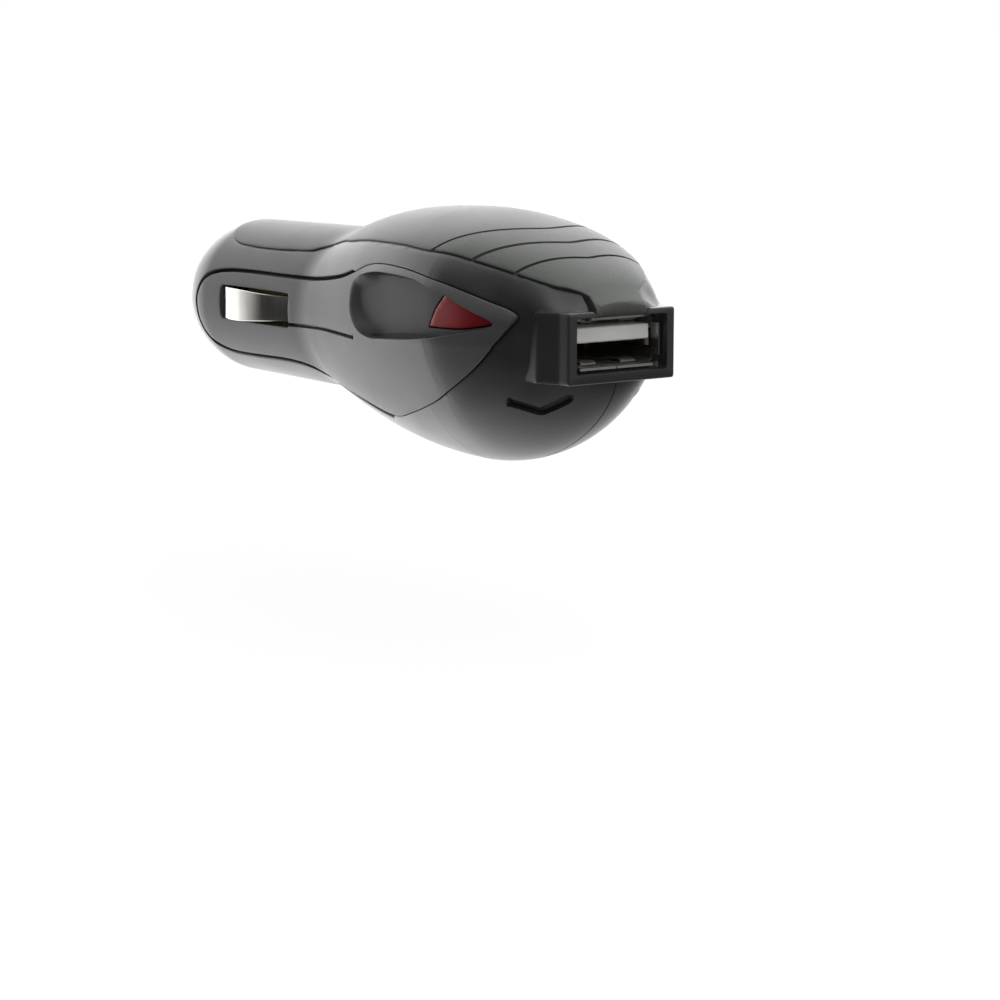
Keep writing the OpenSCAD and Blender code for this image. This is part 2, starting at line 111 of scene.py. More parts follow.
def side_curve(s, bent_s, front, full, widest, foot, powers):
    """One of the three curves: a front up to its widest place, a flank down to the barrel, and the barrel."""
    head = np.where(s < widest, front_curve(bent_s, front, full, widest, powers[0]),
                    flank_curve(s, full, widest, foot, powers[1]))
    return np.where(s < FILLET_END, head, barrel_radius(s))


def reach(s):
    bent_s = WIDEST_S - (np.sqrt((WIDEST_S - s) ** 2 + SOFT_WIDE ** 2) - SOFT_WIDE) * SOFT_SHARE
    return side_curve(s, bent_s, FRONT_HALF, HEAD_HALF, WIDEST_S, HEAD_L - 1, (1.19, 1.54))


def rise(s):
    return side_curve(s, s, FRONT_TOP, HEAD_TOP, CROWN_S, HEAD_L - 1.5, (1.63, 2.46))


def drop(s):
    return side_curve(s, s, FRONT_LOW, HEAD_LOW, BELLY_S, HEAD_L - 0.7, (1.77, 2.24))


def headness(s):
    """1 in the head and 0 along the barrel."""
    fall = above_zero(1 - np.clip((s - WIDEST_S) / (HEAD_L - 1 - WIDEST_S), 0, None) ** 2)
    return np.where(s < WIDEST_S, 1.0, np.minimum(1, fall)) * smooth((FILLET_END - s) / FILLET_L)


stations = np.array([5.0, WIDEST_S, 40.0, 60.0])
print("reach at", stations, "is", np.round(reach(stations), 2))

# %% [markdown]
# ## Sections that turn smoothly from back to belly
# Each section is a squarish oval above and a pointed one below. Two half ovals would leave a faint crease
# along the side, so their powers are blended over a few degrees, and the radius is found by iteration.

# %% Section radius at an angle
def section_radius(s, angle):
    m = headness(s)
    upper = smooth(np.sin(angle) / 0.28 + 0.5)
    high = upper * (rise(s) - MIDDLE_Z * m) + (1 - upper) * (drop(s) + MIDDLE_Z * m)
    across = 2 + m * (0.06 * upper - 0.07 * (1 - upper))
    upward = 2 + m * (1.13 * upper - 0.57 * (1 - upper))
    x = np.maximum(np.abs(np.cos(angle)), 1e-9) / reach(s)
    z = np.maximum(np.abs(np.sin(angle)), 1e-9) / high
    radius = 1 / np.sqrt(x * x + z * z)
    for _ in range(9):
        a, b = (radius * x) ** across, (radius * z) ** upward
        radius = radius * (a + b) ** (-(a + b) / (across * a + upward * b))
    return radius


print("the widest section, belly to crown:",
      np.round(section_radius(np.full(3, WIDEST_S), np.array([-1.5, 0.0, 1.5])), 2))

# %% The collar's own surface
COLLAR_H, COLLAR_Z, COLLAR_ROOT, COLLAR_CORNER, FACE_ROUND = 8.4, -0.4, 4.4, 0.3, 0.22
COLLAR_STOPS, COLLAR_HALVES = (0, 1.6, COLLAR_ROOT), (8.0, 8.2, 9.3)


def box_radius(half_w, half_h, low_z, corner, angle, middle):
    """Radius of a rounded rectangle, seen from a point on its middle line."""
    inside, outside = np.zeros_like(angle + half_w), np.full_like(angle + half_w, 30.0)
    for _ in range(26):
        r = (inside + outside) / 2
        x = np.abs(r * np.cos(angle)) - half_w + corner
        z = np.abs(middle + r * np.sin(angle) - low_z) - half_h + corner
        over = np.hypot(np.maximum(x, 0), np.maximum(z, 0)) + np.minimum(np.maximum(x, z), 0) - corner
        inside, outside = np.where(over < 0, r, inside), np.where(over < 0, outside, r)
    return inside


def collar_half(s):
    return np.interp(s, COLLAR_STOPS, COLLAR_HALVES)


def collar_place(s, angle):
    """A point of the collar's own surface, with a small round at its front edge."""
    edge = FACE_ROUND - np.sqrt(np.maximum(FACE_ROUND ** 2 - np.maximum(FACE_ROUND - s, 0) ** 2, 0))
    r = box_radius(collar_half(s) - edge, COLLAR_H / 2 - edge, COLLAR_Z, COLLAR_CORNER, angle, MIDDLE_Z)
    return columns(r * np.cos(angle), s, MIDDLE_Z + r * np.sin(angle))


def outside_collar(places):
    """Below 0 where a point lies inside the collar's prism, seen from the front."""
    return np.maximum(np.abs(places[:, 0]) - collar_half(places[:, 1]),
                      np.abs(places[:, 2] - COLLAR_Z) - COLLAR_H / 2)


print("the collar is", 2 * COLLAR_HALVES[0], "mm wide at its face")

# %% [markdown]
# ## Unrolling the skin
# Outlines are easier to draw on a flat sheet. The sheet's first coordinate runs along the plug by the
# mean length of the skin, so that the blunt front isn't squeezed, and the second is the angle times 12.

# %% The flat sheet and back
TURN = 12.0
S_STOPS = np.concatenate([np.linspace(0, FRONT_S, 60)[:-1],
                          FRONT_S + 24 * (1 - np.cos(np.linspace(0, np.pi / 2, 900))),
                          np.linspace(25, NOSE_FULL - 0.1, 900)[1:]])
mean_size = (reach(S_STOPS) + (rise(S_STOPS) + drop(S_STOPS)) / 2) / 2
U_STOPS = np.concatenate([[0], np.cumsum(np.hypot(np.diff(S_STOPS), np.diff(mean_size)))])


def s_of(u):
    return np.interp(u, U_STOPS, S_STOPS)


def u_of(s):
    return np.interp(s, S_STOPS, U_STOPS)


def skin(uv):
    s, angle = s_of(uv[:, 0]), uv[:, 1] / TURN
    r = section_radius(s, angle)
    return columns(r * np.cos(angle), s, MIDDLE_Z * headness(s) + r * np.sin(angle))


def slopes(uv, e=0.03):
    """How the skin runs on along each of the sheet's two coordinates."""
    return [(skin(uv + step) - skin(uv - step)) / (2 * e) for step in np.diag((e, e))]


def outward(uv):
    return unit(np.cross(*slopes(uv)))


def find_angle(s, goal, measure, low, high):
    """Lays points on the sheet, at the angle between two limits where a rising measure meets its goal."""
    low, high = np.full_like(s, low), np.full_like(s, high)
    for _ in range(40):
        middle = (low + high) / 2
        reached = measure(section_radius(s, middle), middle) > goal
        high, low = np.where(reached, middle, high), np.where(reached, low, middle)
    return columns(u_of(s), (low + high) / 2 * TURN)


def from_side(path):
    """Points drawn from the side, as distance and height, laid on the right flank of the sheet."""
    s, z = np.asarray(path, float).T
    return find_angle(s, z - MIDDLE_Z * headness(s), lambda r, a: r * np.sin(a), -1.5, 1.5)


def from_above(path):
    """Points drawn from above, as half width and distance, laid on the back of the sheet."""
    x, s = np.asarray(path, float).T
    return find_angle(s, -x, lambda r, a: -r * np.cos(a), 0.0, math.pi / 2)


print("the sheet is", round(U_STOPS[-1], 1), "long and", round(math.pi * TURN, 1), "wide on each side")

# %% [markdown]
# ## Soft outlines
# A moulded part's edges are drawn as smooth curves through a few points. The curve is then cut into equal
# short steps, so that the triangles along it are even.

# %% Curves through points
def curve(points, closed=False, steps=14):
    p = np.asarray(points, float)
    n = len(p)
    pick = (lambda i: p[i % n]) if closed else (lambda i: p[min(max(i, 0), n - 1)])
    t = (np.arange(steps) / steps)[:, None]
    out = []
    for i in range(n if closed else n - 1):
        a, b, c, d = pick(i - 1), pick(i), pick(i + 1), pick(i + 2)
        out.append(0.5 * (2 * b + (c - a) * t + (2 * a - 5 * b + 4 * c - d) * t ** 2
                          + (3 * b - a - 3 * c + d) * t ** 3))
    if not closed:
        out.append(p[-1:])
    return np.concatenate(out)


def even(path, step=0.24, closed=False):
    q = np.concatenate([path, path[:1]]) if closed else path
    run = np.concatenate([[0], np.cumsum(np.linalg.norm(np.diff(q, axis=0), axis=1))])
    count = max(4, int(run[-1] / step))
    at = np.linspace(0, run[-1], count + (not closed), endpoint=not closed)
    return np.stack([np.interp(at, run, q[:, k]) for k in range(q.shape[1])], 1)


def shifted(path, distance, closed=True):
    """Moves a path on the sheet to its left by a true distance on the skin."""
    p = skin(path)
    along = np.roll(p, -1, 0) - np.roll(p, 1, 0) if closed else np.gradient(p, axis=0)
    left = unit(np.cross(outward(path), along))
    du, dv = slopes(path)
    a, b, c = (du * du).sum(1), (du * dv).sum(1), (dv * dv).sum(1)
    p1, p2 = (left * du).sum(1), (left * dv).sum(1)
    move = columns(c * p1 - b * p2, a * p2 - b * p1)
    return path + move * columns(distance / (a * c - b * b))


def inside(points, loop):
    """True for points within a closed loop on the sheet."""
    found = np.zeros(len(points), bool)
    x, y = points[:, 0], points[:, 1]
    for (ax, ay), (bx, by) in zip(loop, np.roll(loop, -1, 0)):
        if ay != by:
            crosses = (ay > y) != (by > y)
            found ^= crosses & (x < (bx - ax) * (y - ay) / (by - ay) + ax)
    return found


def distance_to(points, path, closed=True):
    """True distance from points to a path on the sheet, both as places in space."""
    p, q = skin(points), skin(path)
    ends = np.roll(q, -1, 0) if closed else q[1:]
    starts = q if closed else q[:-1]
    best = np.full(len(p), 1e9)
    for a, b in zip(starts, ends):
        d = b - a
        t = np.clip(((p - a) @ d) / max(d @ d, 1e-12), 0, 1)
        gap = p - a - t[:, None] * d
        best = np.minimum(best, (gap * gap).sum(1))
    return np.sqrt(best)


def nearest(places, line):
    """Distance to the nearest point of a line in space, and how far behind the collar that point is."""
    best, found = np.full(len(places), 1e9), np.zeros(len(places))
    for q in line:
        gap = ((places - q) ** 2).sum(1)
        found = np.where(gap < best, q[1], found)
        best = np.minimum(best, gap)
    return np.sqrt(best), found


def edge_round(gap, size):
    """How far a small round has fallen at a distance from an edge."""
    return size * (1 - np.sqrt(np.maximum(1 - np.clip((size - gap) / size, 0, 1) ** 2, 0)))


soft_square = even(curve([(0, 0), (4, 0), (4, 4), (0, 4)], closed=True), closed=True)
print("a soft square has", len(soft_square), "points")

# %% [markdown]
# ## From sheet to closed piece
# A constrained triangulation fills an outline with even triangles and keeps every drawn line as an edge.
# Each point then gets a place on the outside and one on the inside of the piece, and the rim is bridged,
# so the piece is a closed solid that a printer could make.

# %% Fill an outline
KEEP_OFF = 0.62


def fill(outline, lines=(), holes=(), step=0.45):
    """Points and triangles of an outline on the sheet, with every line and hole as edges."""
    loops = [outline] + list(holes)
    points, edges = [], []
    for path, closed in [(loop, True) for loop in loops] + [(line, False) for line in lines]:
        first = len(points)
        points.extend(path)
        edges += [(first + i, first + i + 1) for i in range(len(path) - 1)]
        if closed:
            edges.append((first + len(path) - 1, first))
    tree = kdtree.KDTree(len(points))
    for i, p in enumerate(points):
        tree.insert((p[0], p[1], 0), i)
    tree.balance()
    low, high = outline.min(0), outline.max(0)
    rows = np.arange(low[1], high[1], step * 0.8)
    starts = [low[0] + (k % 2) * step / 2 for k in range(len(rows))]
    grid = np.array([(u, v) for start, v in zip(starts, rows) for u in np.arange(start, high[0], step)])
    grid = grid[inside(grid, outline)]
    for hole in holes:
        grid = grid[~inside(grid, hole)]
    grid = [g for g in grid if tree.find((g[0], g[1], 0))[2] > step * KEEP_OFF]
    points = [Vector((float(p[0]), float(p[1]))) for p in points + grid]
    made, _, faces, _, _, _ = geometry.delaunay_2d_cdt(points, edges, [], 0, 1e-6)
    uv = np.array([(p.x, p.y) for p in made])
    tris = np.array([f for f in faces if len(f) == 3])
    centre = uv[tris].mean(1)
    keep_it = inside(centre, outline)
    for hole in holes:
        keep_it &= ~inside(centre, hole)
    along, across = uv[tris[:, 1]] - uv[tris[:, 0]], uv[tris[:, 2]] - uv[tris[:, 0]]
    area = along[:, 0] * across[:, 1] - along[:, 1] * across[:, 0]
    keep_it &= np.abs(area) > 1e-9
    tris, area = tris[keep_it], area[keep_it]
    tris[area < 0] = tris[area < 0][:, ::-1]
    used, tris = np.unique(tris, return_inverse=True)
    return uv[used], tris.reshape(-1, 3)


def rim_of(tris):
    """The edges that only one triangle uses."""
    seen = dict.fromkeys(edge for a, b, c in tris for edge in ((a, b), (b, c), (c, a)))
    return [edge for edge in seen if edge[::-1] not in seen]


_, square_tris = fill(soft_square, step=1.0)
print("filled with", len(square_tris), "triangles, with", len(rim_of(square_tris)), "edges on the rim")

# %% Make a mesh, and close a piece
SHARP_ANGLE = math.radians(32)


def make_mesh(name, places, faces, body, slot, stands_for, finish):
    """A mesh from places in millimetres, given as side, distance behind the collar's face, and height."""
    data = bpy.data.meshes.new(name)
    places = np.asarray(places, float)
    data.from_pydata(((places - [0, ORIGIN_S, 0]) * MM).tolist(), [], [list(map(int, f)) for f in faces])
    data.validate()
    data.materials.append(finish)
    data.shade_smooth()
    data.set_sharp_from_angle(angle=SHARP_ANGLE)
    piece = bpy.data.objects.new(name, data)
    bpy.context.scene.collection.objects.link(piece)
    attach(piece, body)
    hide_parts(stands_for)
    print(name, "has", len(data.polygons), "faces")


def mirrored(places, faces):
    return places * [-1, 1, 1], [face[::-1] for face in faces]


def closed_piece(name, outer, inner, tris, left, **facts):
    """Bridges the rim between an outside and an inside with the same triangles."""
    n = len(outer)
    places = np.concatenate([outer, inner])
    faces = [tuple(t) for t in tris] + [(c + n, b + n, a + n) for a, b, c in tris]
    faces += [(b, a, a + n, b + n) for a, b in rim_of(tris)]
    if left:
        places, faces = mirrored(places, faces)
    make_mesh(name, places, faces, **facts)


def both_sides(form, node, outer, inner, tris, slot, finish):
    for side in ("left", "right"):
        closed_piece(f"{side}_{form}", outer, inner, tris, side == "left", body="housing", slot=slot,
                     stands_for=f"{side}_{node}", finish=finish)

# %% [markdown]
# ## Finishes
# Moulded plastic is never quite even: the tool leaves a fine grain, and handling leaves smears in the
# gloss. Each finish is a small node tree, in which a coarse noise breaks up the colour and the roughness
# a little and a fine one gives the grain. Numbers that are the same everywhere sit on the shader.

# %% A helper for nodes and one for finishes
CLOUD_SCALE, VARY, SMEAR, COAT_ROUGH, GRAIN_DEEP = 180, 0.12, 0.05, 0.2, 0.00008


def add(tree, kind, inputs=None, **settings):
    """A node with its settings, and with a value or a link for each input that is named."""
    node = tree.nodes.new("ShaderNode" + kind)
    for key, value in settings.items():
        setattr(node, key, value)
    for key, value in (inputs or {}).items():
        if isinstance(value, bpy.types.NodeSocket):
            tree.links.new(value, node.inputs[key])
        else:
            node.inputs[key].default_value = value
    return node


def finish(name, color, rough, grain=0.0, grain_size=0.25, metal=0.0, coat=0.0, specular=0.5,
           stretch=(1, 1, 1)):
    """A material with cloudy colour and gloss, and a fine grain whose size is in millimetres."""
    material = bpy.data.materials.new(name)
    material.use_nodes = True
    tree = material.node_tree
    tree.nodes.clear()
    place = add(tree, "TexCoord")
    scale = add(tree, "Mapping", {"Vector": place.outputs["Object"], "Scale": stretch})
    cloud = add(tree, "TexNoise", {"Vector": scale.outputs[0], "Scale": CLOUD_SCALE, "Detail": 5})
    darker, lighter = ([min(1, c * share) for c in color] for share in (1 - VARY, 1 + VARY))
    tint = add(tree, "Mix", {"Factor": cloud.outputs["Fac"], "A": (*darker, 1), "B": (*lighter, 1)},
               data_type="RGBA")
    gloss = add(tree, "MapRange", {"Value": cloud.outputs["Fac"], "To Min": max(0.02, rough - SMEAR),
                                   "To Max": min(1, rough + SMEAR)})
    fine = add(tree, "TexNoise", {"Vector": scale.outputs[0], "Scale": 1 / (grain_size * MM), "Detail": 3})
    bump = add(tree, "Bump", {"Height": fine.outputs["Fac"], "Strength": grain, "Distance": GRAIN_DEEP})
    shader = add(tree, "BsdfPrincipled", {
        "Base Color": tint.outputs["Result"], "Roughness": gloss.outputs["Result"], "Metallic": metal,
        "Coat Weight": coat, "Coat Roughness": COAT_ROUGH, "Specular IOR Level": specular,
        "Normal": bump.outputs["Normal"]})
    add(tree, "OutputMaterial", {"Surface": shader.outputs[0]})
    return material


SHELL = finish("housing_plastic", (0.025, 0.0262, 0.0258), 0.4, grain=0.25, grain_size=0.3, specular=0.68)
PAD = finish("soft_pad", (0.045, 0.0515, 0.045), 0.5, grain=0.45, grain_size=0.22, specular=0.68)
PANEL = finish("side_panel_plastic", (0.078, 0.08, 0.0792), 0.5, grain=0.5, grain_size=0.22, specular=0.68)
LENS = finish("red_lens", (0.55, 0.012, 0.02), 0.3, grain=0.2, grain_size=0.5, coat=0.3)
NICKEL = finish("bright_nickel", (0.56, 0.55, 0.515), 0.22, grain=0.12, metal=1.0, stretch=(1, 8, 1))
SHEET_METAL = finish("plated_sheet", (0.56, 0.56, 0.54), 0.3, metal=1.0, grain=0.03, stretch=(6, 1, 1))
TONGUE = finish("white_tongue", (0.9, 0.9, 0.86), 0.42, grain=0.15)
print("finishes so far:", len(bpy.data.materials))

# %% [markdown]
# ## Outlines of the pad and the side panel
# These follow the joints seen on the real charger: the pad runs from the nose over the back to a tab above
# the socket, and each side panel from the nose to the brow and the cheek. A height is given as a share of
# the skin's rise or drop there and a width as a share of its reach, as a designer would tie them. Only the
# floor of the recess is drawn from above in millimetres, because it is cut straight into the panel.

# %% Draw the outlines
PANEL_POINTS = [(76.9, -0.18), (76.6, 0.06), (74.6, 0.28), (71, 0.375), (65, 0.4), (57, 0.395), (49.6, 0.4),
                (44, 0.39), (39.2, 0.41), (35.4, 0.47), (32.4, 0.53), (28.6, 0.552), (23.2, 0.545),
                (18.3, 0.53), (14.8, 0.51), (11.8, 0.475), (9, 0.435), (6.9, 0.4), (6.1, 0.33), (6.9, 0.19),
                (7.9, 0.06), (9, -0.062), (10.8, -0.19), (13.1, -0.3), (16.4, -0.41), (20.4, -0.505),
                (27.4, -0.638), (33.4, -0.736), (41, -0.726), (46, -0.755), (50.2, -0.765), (53.2, -0.675),
                (58, -0.64), (66, -0.66), (71, -0.654), (74.5, -0.567), (76.2, -0.42)]
EYE_POINTS = [(36, 0.24), (35.2, 0.405), (31, 0.472), (26, 0.482), (20, 0.479), (15, 0.414),
              (11.4, 0.32), (8.4, 0.212), (11.2, 0.104), (14, 0.048), (17, 0.001), (22, -0.037), (27, -0.062),
              (31, -0.076), (34, -0.026), (35.6, 0.087)]
PAD_POINTS = [(0.0, 76), (0.327, 75.8), (0.558, 74), (0.663, 71), (0.695, 66), (0.7, 61.5), (0.693, 58),
              (0.677, 53.6), (0.622, 51.2), (0.595, 48.7), (0.645, 45.2), (0.714, 41.7), (0.779, 33.9),
              (0.808, 26.8), (0.814, 20.2), (0.788, 14), (0.769, 7.9), (0.715, 4.5), (0.61, 3.0)]
TAB_HALF, TAB_ROOT_S = 3.85, 1.7
FLOOR_POINTS = [(13.7, 40), (13.15, 37), (12.7, 34), (12.45, 30.5), (12.35, 27), (12.2, 23.5), (11.95, 20.3),
                (11.2, 15.6), (9.7, 10.9), (8.1, 6.6)]
LENS_SIDES = [[(18.6, 0.362), (14.9, 0.284), (10.6, 0.171)], [(10.6, 0.171), (16, 0.074), (21.4, 0.058)],
              [(21.4, 0.058), (20.3, 0.214), (18.6, 0.362)]]


def on_side(points):
    p = np.asarray(points, float)
    return columns(p[:, 0], p[:, 1] * np.where(p[:, 1] > 0, rise(p[:, 0]), drop(p[:, 0])))


def on_top(points):
    p = np.asarray(points, float)
    return columns(p[:, 0] * reach(p[:, 1]), p[:, 1])


panel_side = even(curve(on_side(PANEL_POINTS), closed=True), closed=True)
eye_side = even(curve(on_side(EYE_POINTS), closed=True), closed=True)
lens_side = even(np.concatenate([curve(on_side(side))[:-1] for side in LENS_SIDES]), 0.2, closed=True)
panel_loop = from_side(panel_side)[::-1]
eye_loop = from_side(eye_side)[::-1]
lens_loop = from_side(lens_side)[::-1]


def anticlockwise(loop):
    x, y = loop[:, 0], loop[:, 1]
    return loop if (x * np.roll(y, -1) - np.roll(x, -1) * y).sum() > 0 else loop[::-1]


panel_loop, eye_loop, lens_loop = map(anticlockwise, (panel_loop, eye_loop, lens_loop))
pad_half = even(curve(np.concatenate([on_top(PAD_POINTS), [(TAB_HALF, TAB_ROOT_S)]])))
print("outline points:", len(panel_loop), len(eye_loop), len(lens_loop), len(pad_half))

# %% [markdown]
# ## The camera
# It stands to the left and in front, a little above the axis, with a long lens. The numbers come from
# matching the barrel's straight lines and the collar's square to the view.

# %% Place the camera
CAMERA_AT = (-0.2239, -0.31621, 0.03709)
AZIMUTH, ELEVATION, ROLL = map(math.radians, (-36.637, 5.954, 0.119))
back = Vector((math.sin(AZIMUTH) * math.cos(ELEVATION), -math.cos(AZIMUTH) * math.cos(ELEVATION),
               math.sin(ELEVATION)))
level = Vector((math.cos(AZIMUTH), math.sin(AZIMUTH), 0))
upright = back.cross(level)
right = level * math.cos(ROLL) + upright * math.sin(ROLL)
up = upright * math.cos(ROLL) - level * math.sin(ROLL)
lens = bpy.data.cameras.new("camera")
lens.sensor_width, lens.lens = 36, 107.73
lens.shift_x, lens.shift_y = 0.069, -0.167
lens.clip_start, lens.clip_end = 0.01, 20
camera = bpy.data.objects.new("camera", lens)
camera.matrix_world = Matrix.Translation(CAMERA_AT) @ Matrix((right, up, back)).transposed().to_4x4()
bpy.context.scene.collection.objects.link(camera)
bpy.context.scene.camera = camera
bpy.context.scene.view_settings.view_transform = "Standard"
print("the camera stands", round(Vector(CAMERA_AT).length, 2), "m away")

# %% [markdown]
# ## A white studio
# The charger is shown on plain white, lit by the large soft walls of a light tent: bright ones behind it and
# to its right, dark ones to its left and in front. The world holds these walls as a few broad lobes of light.
# Lamps could do the same, but they leave hard spots in the nickel. The camera only sees white, and so would
# a ray that passes through something clear.

# %% World
world = bpy.data.worlds.new("studio")
bpy.context.scene.world = world
world.use_nodes = True
tree = world.node_tree
tree.nodes.clear()
heading = add(tree, "TexCoord")


def towards(azimuth, elevation):
    """A direction by its angle from the plug's back end round to the right, and its height."""
    a, e = math.radians(azimuth), math.radians(elevation)
    return math.sin(a) * math.cos(e), math.cos(a) * math.cos(e), math.sin(e)


def lobe(direction, low, level, total):
    """Adds light along a direction, falling softly to 0, to a total."""
    dot = add(tree, "VectorMath", {0: heading.outputs["Generated"], 1: direction}, operation="DOT_PRODUCT")
    ramp = add(tree, "MapRange", {"Value": dot.outputs["Value"], "From Min": low, "From Max": 1.0,
                                  "To Max": level}, interpolation_type="SMOOTHSTEP")
    return add(tree, "Math", {0: ramp.outputs["Result"], 1: total}).outputs[0]


WALL_LEVEL = 0.05
LOBES = [(30, -30, 0.2, 1.15), (30, 0, 0.5, 1.0), (30, 30, 0.2, 0.7), (60, 30, 0.5, 1.8),
         (60, 60, 0.5, 0.45), (-150, 30, 0.5, 0.3), (-120, 60, 0.5, 0.25), (0, -90, 0.2, 0.37),
         (2, 8, 0.6, 1.0), (-12, -35, 0.7, 0.9), (-28, 6, 0.8, 0.9), (150, 45, 0.5, 1.35)]
light = WALL_LEVEL
for azimuth, elevation, low, level in LOBES:
    light = lobe(towards(azimuth, elevation), low, level, light)
walls = add(tree, "Background", {"Strength": light})
white = add(tree, "Background", {"Color": (1, 1, 1, 1), "Strength": 1.0})
seen = add(tree, "LightPath")
either = add(tree, "Math", {0: seen.outputs["Is Camera Ray"], 1: seen.outputs["Is Transmission Ray"]},
             operation="MAXIMUM")
pick = add(tree, "MixShader", {"Fac": either.outputs[0], 1: walls.outputs[0], 2: white.outputs[0]})
add(tree, "OutputWorld", {0: pick.outputs[0]})
print("the walls are", len(LOBES), "lobes of light")

# %% [markdown]
# ## The floor
# The sheet below is almost pure white in the picture and only darkens where the charger shades it. The
# light from below must reach the charger, so the sheet is left out for every ray but the camera's.

# %% Floor
FLOOR_Z, FLOOR_HALF, GLOW_SHARE = -0.034, 4, 0.9
corners = [(x * FLOOR_HALF, y * FLOOR_HALF, FLOOR_Z) for x, y in ((-1, -1), (1, -1), (1, 1), (-1, 1))]
floor_data = bpy.data.meshes.new("floor")
floor_data.from_pydata(corners, [], [(0, 1, 2, 3)])
floor = bpy.data.objects.new("floor", floor_data)
bpy.context.scene.collection.objects.link(floor)
floor.visible_diffuse = floor.visible_glossy = floor.visible_transmission = floor.visible_shadow = False
paper = bpy.data.materials.new("floor_paper")
paper.use_nodes = True
tree = paper.node_tree
shader = tree.nodes["Principled BSDF"]
shader.inputs["Base Color"].default_value = (0.9, 0.9, 0.9, 1)
shader.inputs["Roughness"].default_value = 0.9
glow = add(tree, "Emission", {"Strength": 1.0})
pick = add(tree, "MixShader", {"Fac": GLOW_SHARE, 1: shader.outputs[0], 2: glow.outputs[0]})
tree.links.new(pick.outputs[0], tree.nodes["Material Output"].inputs["Surface"])
floor_data.materials.append(paper)
print("the floor lies", round(-FLOOR_Z / MM), "mm below the axis")

# %% [markdown]
# ## The housing halves
# The housing is moulded in two halves that meet on a fine line under the belly and over the nose. Each has
# shallow pockets for the pad and the side panel. The half is drawn as one sheet in which the pockets are
# simply deeper, with a small round along every edge, because that is how the light finds a moulded edge.

# %% Lines of the pockets
POCKET, LIP_ROUND, PAD_PROUD, UNDER_GAP = 1.15, 0.2, 0.18, 0.05
SLOT_FROM, SLOT_TO, SLOT_HALF, SLOT_ROOM = 54.2, 70.6, 2.25, 0.45
TOP = math.pi / 2 * TURN
U_END = float(u_of(NOSE_END))
tab_s = np.linspace(1.6, 0.02, 8)
tab_edge = from_above(columns(TAB_HALF, tab_s))
pad_right = np.concatenate([from_above(pad_half), tab_edge])
pad_right = pad_right[np.concatenate([[True], np.linalg.norm(np.diff(pad_right, axis=0), axis=1) > 0.05])]


def closed_over_top(line):
    other = line[::-1].copy()
    other[:, 1] = 2 * TOP - other[:, 1]
    return np.concatenate([line, other])


def panel_joint(loop, s):
    """The joint is wide along the barrel and closes to a hairline at the brow and the cheek."""
    low = loop[:, 1] < 0
    start = np.where(low, 33.5, 35.5)
    wide = np.where(low, 0.5 + 0.3 * smooth((50 - s) / 4), 0.46)
    return 0.07 + wide * smooth((s - start) / 1.2)


def pad_joint(s):
    """The joint opens towards the nose and beside the tab."""
    return 0.15 + 0.17 * smooth((s - 70) / 5) + 0.35 * smooth((3.4 - s) / 1.0)


pad_pocket = shifted(pad_right, -pad_joint(s_of(pad_right[:, 0])), closed=False)
panel_pocket = shifted(panel_loop, -panel_joint(panel_loop, s_of(panel_loop[:, 0])))
start, end, half = SLOT_FROM - SLOT_ROOM, SLOT_TO + SLOT_ROOM, SLOT_HALF + SLOT_ROOM
slot_corners = np.array([(start, -half), (end, -half), (end, half), (start, half)])
slot_loop = from_side(even(slot_corners, 0.5, closed=True))
eye_opening = shifted(eye_loop, -0.1)
print("the panel's pocket has", len(panel_pocket), "points and the pad's", len(pad_pocket))

# %% Lines beside the edges and the partings
OFFSETS = (-0.2, -0.14, -0.09, -0.05, -0.015, 0.012)
PARTING_HALF, PARTING_DEEP = 0.11, 0.12


def within(line):
    """The runs of a line that lie on the right half of the sheet."""
    keep = (line[:, 1] < TOP - 0.04) & (line[:, 1] > -TOP + 0.04) & (line[:, 0] > 0.05) & (line[:, 0] < U_END)
    cuts = np.flatnonzero(np.diff(keep)) + 1
    runs = [run for run, kept in zip(np.split(line, cuts), np.split(keep, cuts)) if kept[0]]
    return [run for run in runs if len(run) > 1]


def parting_line(off, low):
    s = np.concatenate([np.linspace(0.3, 8, 40), np.linspace(8.4, NOSE_END - 0.05, 240)])
    r = section_radius(s, np.full_like(s, -TOP / TURN if low else TOP / TURN))
    v = (TOP - off / r * TURN) * (-1 if low else 1)
    return columns(u_of(s), v)


def ringed(loop):
    return np.concatenate([loop, loop[:1]])


shell_lines = []
for off in OFFSETS:
    shell_lines += within(shifted(pad_pocket, off, closed=False))
    shell_lines += within(ringed(shifted(panel_pocket, off)))
for off in (0.05, PARTING_HALF):
    shell_lines += [parting_line(off, True), parting_line(off, False)[-60:]]
print("lines on the sheet:", len(shell_lines))

# %% The mark cut into the chin
CHIN_HALF, CHIN_WALL, CHIN_DEEP = 0.5, 0.14, 0.85
CHIN_POINTS = [(9.25, -7.35), (6.75, -8.3), (5.25, -6.65)]


def from_front(points):
    """Points of the belly drawn from the front, as side and height, found by distance along the plug."""
    sheet = []
    for x, z in points:
        s = np.linspace(1.5, 16, 600)
        angle = np.full_like(s, math.atan2(z - MIDDLE_Z, x))
        r = section_radius(s, angle)
        k = np.argmin(np.abs(r - math.hypot(x, z - MIDDLE_Z)))
        sheet.append((u_of(s[k]), angle[k] * TURN))
    return np.array(sheet)


chin_line = from_front(even(np.array(CHIN_POINTS), 0.15))
for off in (CHIN_HALF + CHIN_WALL, CHIN_HALF, 0.2):
    shell_lines += [shifted(chin_line, -off, closed=False), shifted(chin_line, off, closed=False)]
print("the mark has", len(chin_line), "points")

# %% [markdown]
# ## The sunk front and the collar's root
# In front of each cheek the housing sinks into a soft valley, and a hollow lies between the brow and the
# collar. The collar is a plain box that cuts into this form. The line where the two meet is found first,
# and drawn on the sheet, so that the corner there comes out sharp.

